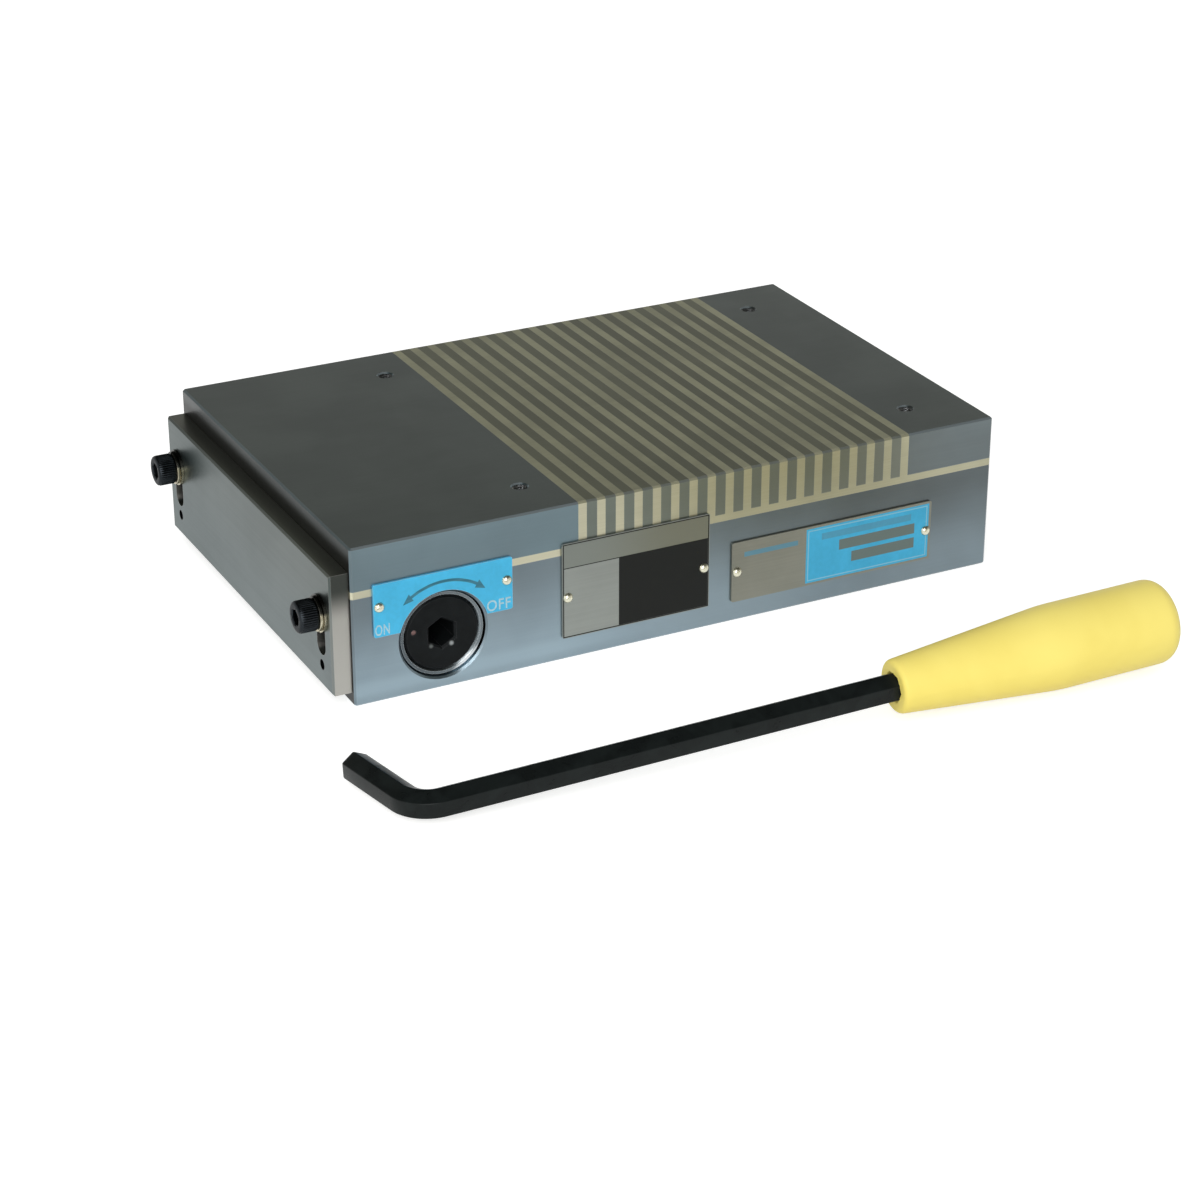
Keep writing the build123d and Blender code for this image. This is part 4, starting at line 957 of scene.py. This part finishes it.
def grip_profile():
    """The grip's outline from the bottom of its hexagon socket over the nose, the cone and the barrel to
    the domed end, as distance along the rod, radius and hexagon share. Straight lines and arcs."""
    nose, nose_round, end_round, shoulder_round = 7.0 * mm, 1.5 * mm, 4.5 * mm, 60.0 * mm
    hole = across_flats / 2 + 0.05 * mm
    slope = np.arctan2(grip_radius - nose, shoulder_at - grip_start)
    nose_centre = (grip_start + nose_round, nose - nose_round * (1 / cos(slope) - tan(slope)))
    cut = shoulder_round * tan(slope / 2)
    dome_radius = (grip_radius ** 2 + (grip_tip - grip_end) ** 2) / (2 * (grip_tip - grip_end))
    dome_centre = grip_tip - dome_radius
    corner_r = grip_radius - end_round
    corner_x = dome_centre + sqrt((dome_radius - end_round) ** 2 - corner_r ** 2)
    corner_turn = np.degrees(np.arctan2(corner_r, corner_x - dome_centre))
    outline = [(socket_end, 0.0, 0.0), (socket_end, hole, 1.0), (grip_start + 0.3 * mm, hole, 1.0),
               (grip_start, hole + 0.25 * mm, 0.8), (grip_start, nose_centre[1] - 0.3 * mm, 0.0)]
    outline += arc(nose_centre, nose_round, 180.0, 90.0 + np.degrees(slope), 7)
    cone_end = shoulder_at - cut * cos(slope)
    for f in np.linspace(0.1, 0.96, 8):
        x = grip_start + f * (cone_end - grip_start)
        outline.append((x, nose + (x - grip_start) * tan(slope), 0.0))
    outline += arc((shoulder_at + cut, grip_radius - shoulder_round), shoulder_round,
                   90.0 + np.degrees(slope), 90.0, 6)
    outline += [(x * mm, grip_radius, 0.0) for x in (180.0, 188.0, 196.0)]
    outline += arc((corner_x, corner_r), end_round, 90.0, corner_turn, 10)
    outline += arc((dome_centre, 0.0), dome_radius, corner_turn * 0.8, 0.0, 6)
    return np.array(outline)


along, radius, share = (column[:, None] for column in grip_profile().T)
angle = np.linspace(0.0, 2 * pi, 96, endpoint=False)
ring = radius * ((1 - share) + share * hexagon_radius(angle - pi / 2, 2.0))
seam_height, seam_half_angle, seam_from_radius = 0.035 * mm, 0.02, 6.9 * mm
seam = np.exp(-((np.abs(np.abs(angle - pi) - pi / 2) - pi / 2) / seam_half_angle) ** 2)
ring = ring - seam_height * (radius > seam_from_radius) * (1 - seam) * (share == 0)
round_rod = np.cos(angle)[:, None] * side_way + np.sin(angle)[:, None] * up_way
grid = start + along[:, :, None] * rod_way + ring[:, :, None] * round_rod
grip_plastic, tree, shader, where = new_material("grip_plastic", Specular_IOR_Level=0.22)
film = clouds(tree, where, 38.0)
grain = use(tree, fine_grain, where, Scale=1500.0)
colour = tint(tree, film, (0.895, 0.735, 0.172), (0.935, 0.78, 0.197))
finish(tree, shader, colour, grain["Mask"], 0.06, 0.42, grain["Height"], 0.03 * mm)
grip = mesh_of("yellow_grip", grid, grip_plastic, around=True, crease=40.0)
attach(grip, "lever")
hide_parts("lever_grip")


# The bench: a wide white floor that keeps a soft shadow. It shows itself white to the camera and to
# reflections, and lights the underside only as a pale surface does.
def floor_disc(radius):
    """A flat disc of rings whose radius grows as the square of their number."""
    angle = np.linspace(0.0, 2 * pi, 64, endpoint=False)
    r = radius * np.linspace(0.0, 1.0, 12) ** 2
    return np.stack([np.outer(r, np.cos(angle)), np.outer(r, np.sin(angle)),
                     np.full((r.size, angle.size), -0.02 * mm)], axis=-1)


def seen_itself(data):
    """Empties the node tree of a material or a world. Gives the tree, one for rays that come straight
    from the camera, and one for those and for rays by way of a mirror or glass."""
    data.use_nodes = True
    tree = data.node_tree
    tree.nodes.clear()
    ray = tree.nodes.new("ShaderNodeLightPath").outputs
    seen = calc(tree, "MAXIMUM", ray["Is Camera Ray"], ray["Is Glossy Ray"])
    return tree, ray["Is Camera Ray"], calc(tree, "MAXIMUM", seen, ray["Is Transmission Ray"])


paper_white = (1.0, 0.997, 0.985)
white_floor = bpy.data.materials.new("white_floor")
tree, straight, seen = seen_itself(white_floor)
pale = place(tree, "ShaderNodeBsdfDiffuse", (0.72, 0.72, 0.71, 1.0)).outputs[0]
brightness = calc(tree, "MULTIPLY", seen, 0.66)
glow = place(tree, "ShaderNodeEmission", (*paper_white, 1.0), brightness).outputs[0]
whole = place(tree, "ShaderNodeAddShader", pale, glow).outputs[0]
tree.links.new(whole, tree.nodes.new("ShaderNodeOutputMaterial").inputs["Surface"])
floor = mesh_of("floor", floor_disc(8.0), white_floor, around=True)
for polygon in floor.data.polygons:
    polygon.use_smooth = False

# Studio: a white surround, whose image in metal darkens above the horizon as a ceiling does, an even
# fill, a large soft lamp in front, a small one to the left and a small one high in front.
world = bpy.data.worlds.new("studio")
bpy.context.scene.world = world
tree, straight, seen = seen_itself(world)
toward = tree.nodes.new("ShaderNodeTexCoord").outputs["Generated"]
up = place(tree, "ShaderNodeSeparateXYZ", toward).outputs[2]
ceiling = tint(tree, ramp(tree, up, 0.36, 0.60), (0.40, 0.385, 0.345), (0.10, 0.10, 0.09))
mirrored = tint(tree, ramp(tree, up, 0.10, 0.36), paper_white, ceiling)
surround = tint(tree, straight, mirrored, paper_white)
fill = place(tree, "ShaderNodeBackground", (0.97, 0.985, 1.0, 1.0), 0.5).outputs[0]
seen_world = place(tree, "ShaderNodeBackground", surround, 1.0).outputs[0]
mixed = place(tree, "ShaderNodeMixShader", seen, fill, seen_world).outputs[0]
tree.links.new(mixed, tree.nodes.new("ShaderNodeOutputWorld").inputs["Surface"])


def softbox(name, power, size, place_at, target):
    """A square area lamp at a place, facing a target."""
    light = bpy.data.lights.new(name, "AREA")
    light.shape = "SQUARE"
    light.size = size
    light.energy = power
    lamp = into_scene(name, light)
    lamp.location = place_at
    lamp.rotation_euler = (Vector(target) - Vector(place_at)).to_track_quat("-Z", "Y").to_euler()


softbox("lamp_front", 10.4, 0.9, (-0.62, -1.12, 0.50), (0.0, -0.05, 0.0))
softbox("lamp_left", 1.6, 0.35, (-1.1, -0.3, 0.55), (-0.08, 0.0, 0.02))
softbox("lamp_high", 1.4, 0.3, (-0.46, -0.92, 1.1), (-0.06, -0.06, 0.02))

# Camera, fitted to the photograph: its place, its direction and a lens of 92 mm. The fit counted from
# the centres of pixels, so the shift moves the picture by half a pixel of its 1201.
camera_azimuth, camera_elevation = radians(-26.9927), radians(25.7765)
camera_data = bpy.data.cameras.new("camera")
camera_data.sensor_width = 36.0
camera_data.lens = 91.898
half_pixel = 0.5 / 1201
camera_data.shift_x, camera_data.shift_y = -half_pixel, half_pixel
camera_data.clip_start, camera_data.clip_end = 0.01, 50.0
camera = into_scene("camera", camera_data)
camera.location = (-0.351875, -0.701716, 0.362361)
back = Vector((sin(camera_azimuth) * cos(camera_elevation), -cos(camera_azimuth) * cos(camera_elevation),
               sin(camera_elevation)))
camera.rotation_euler = back.to_track_quat("Z", "Y").to_euler()
bpy.context.scene.camera = camera
bpy.context.scene.view_settings.view_transform = "Standard"
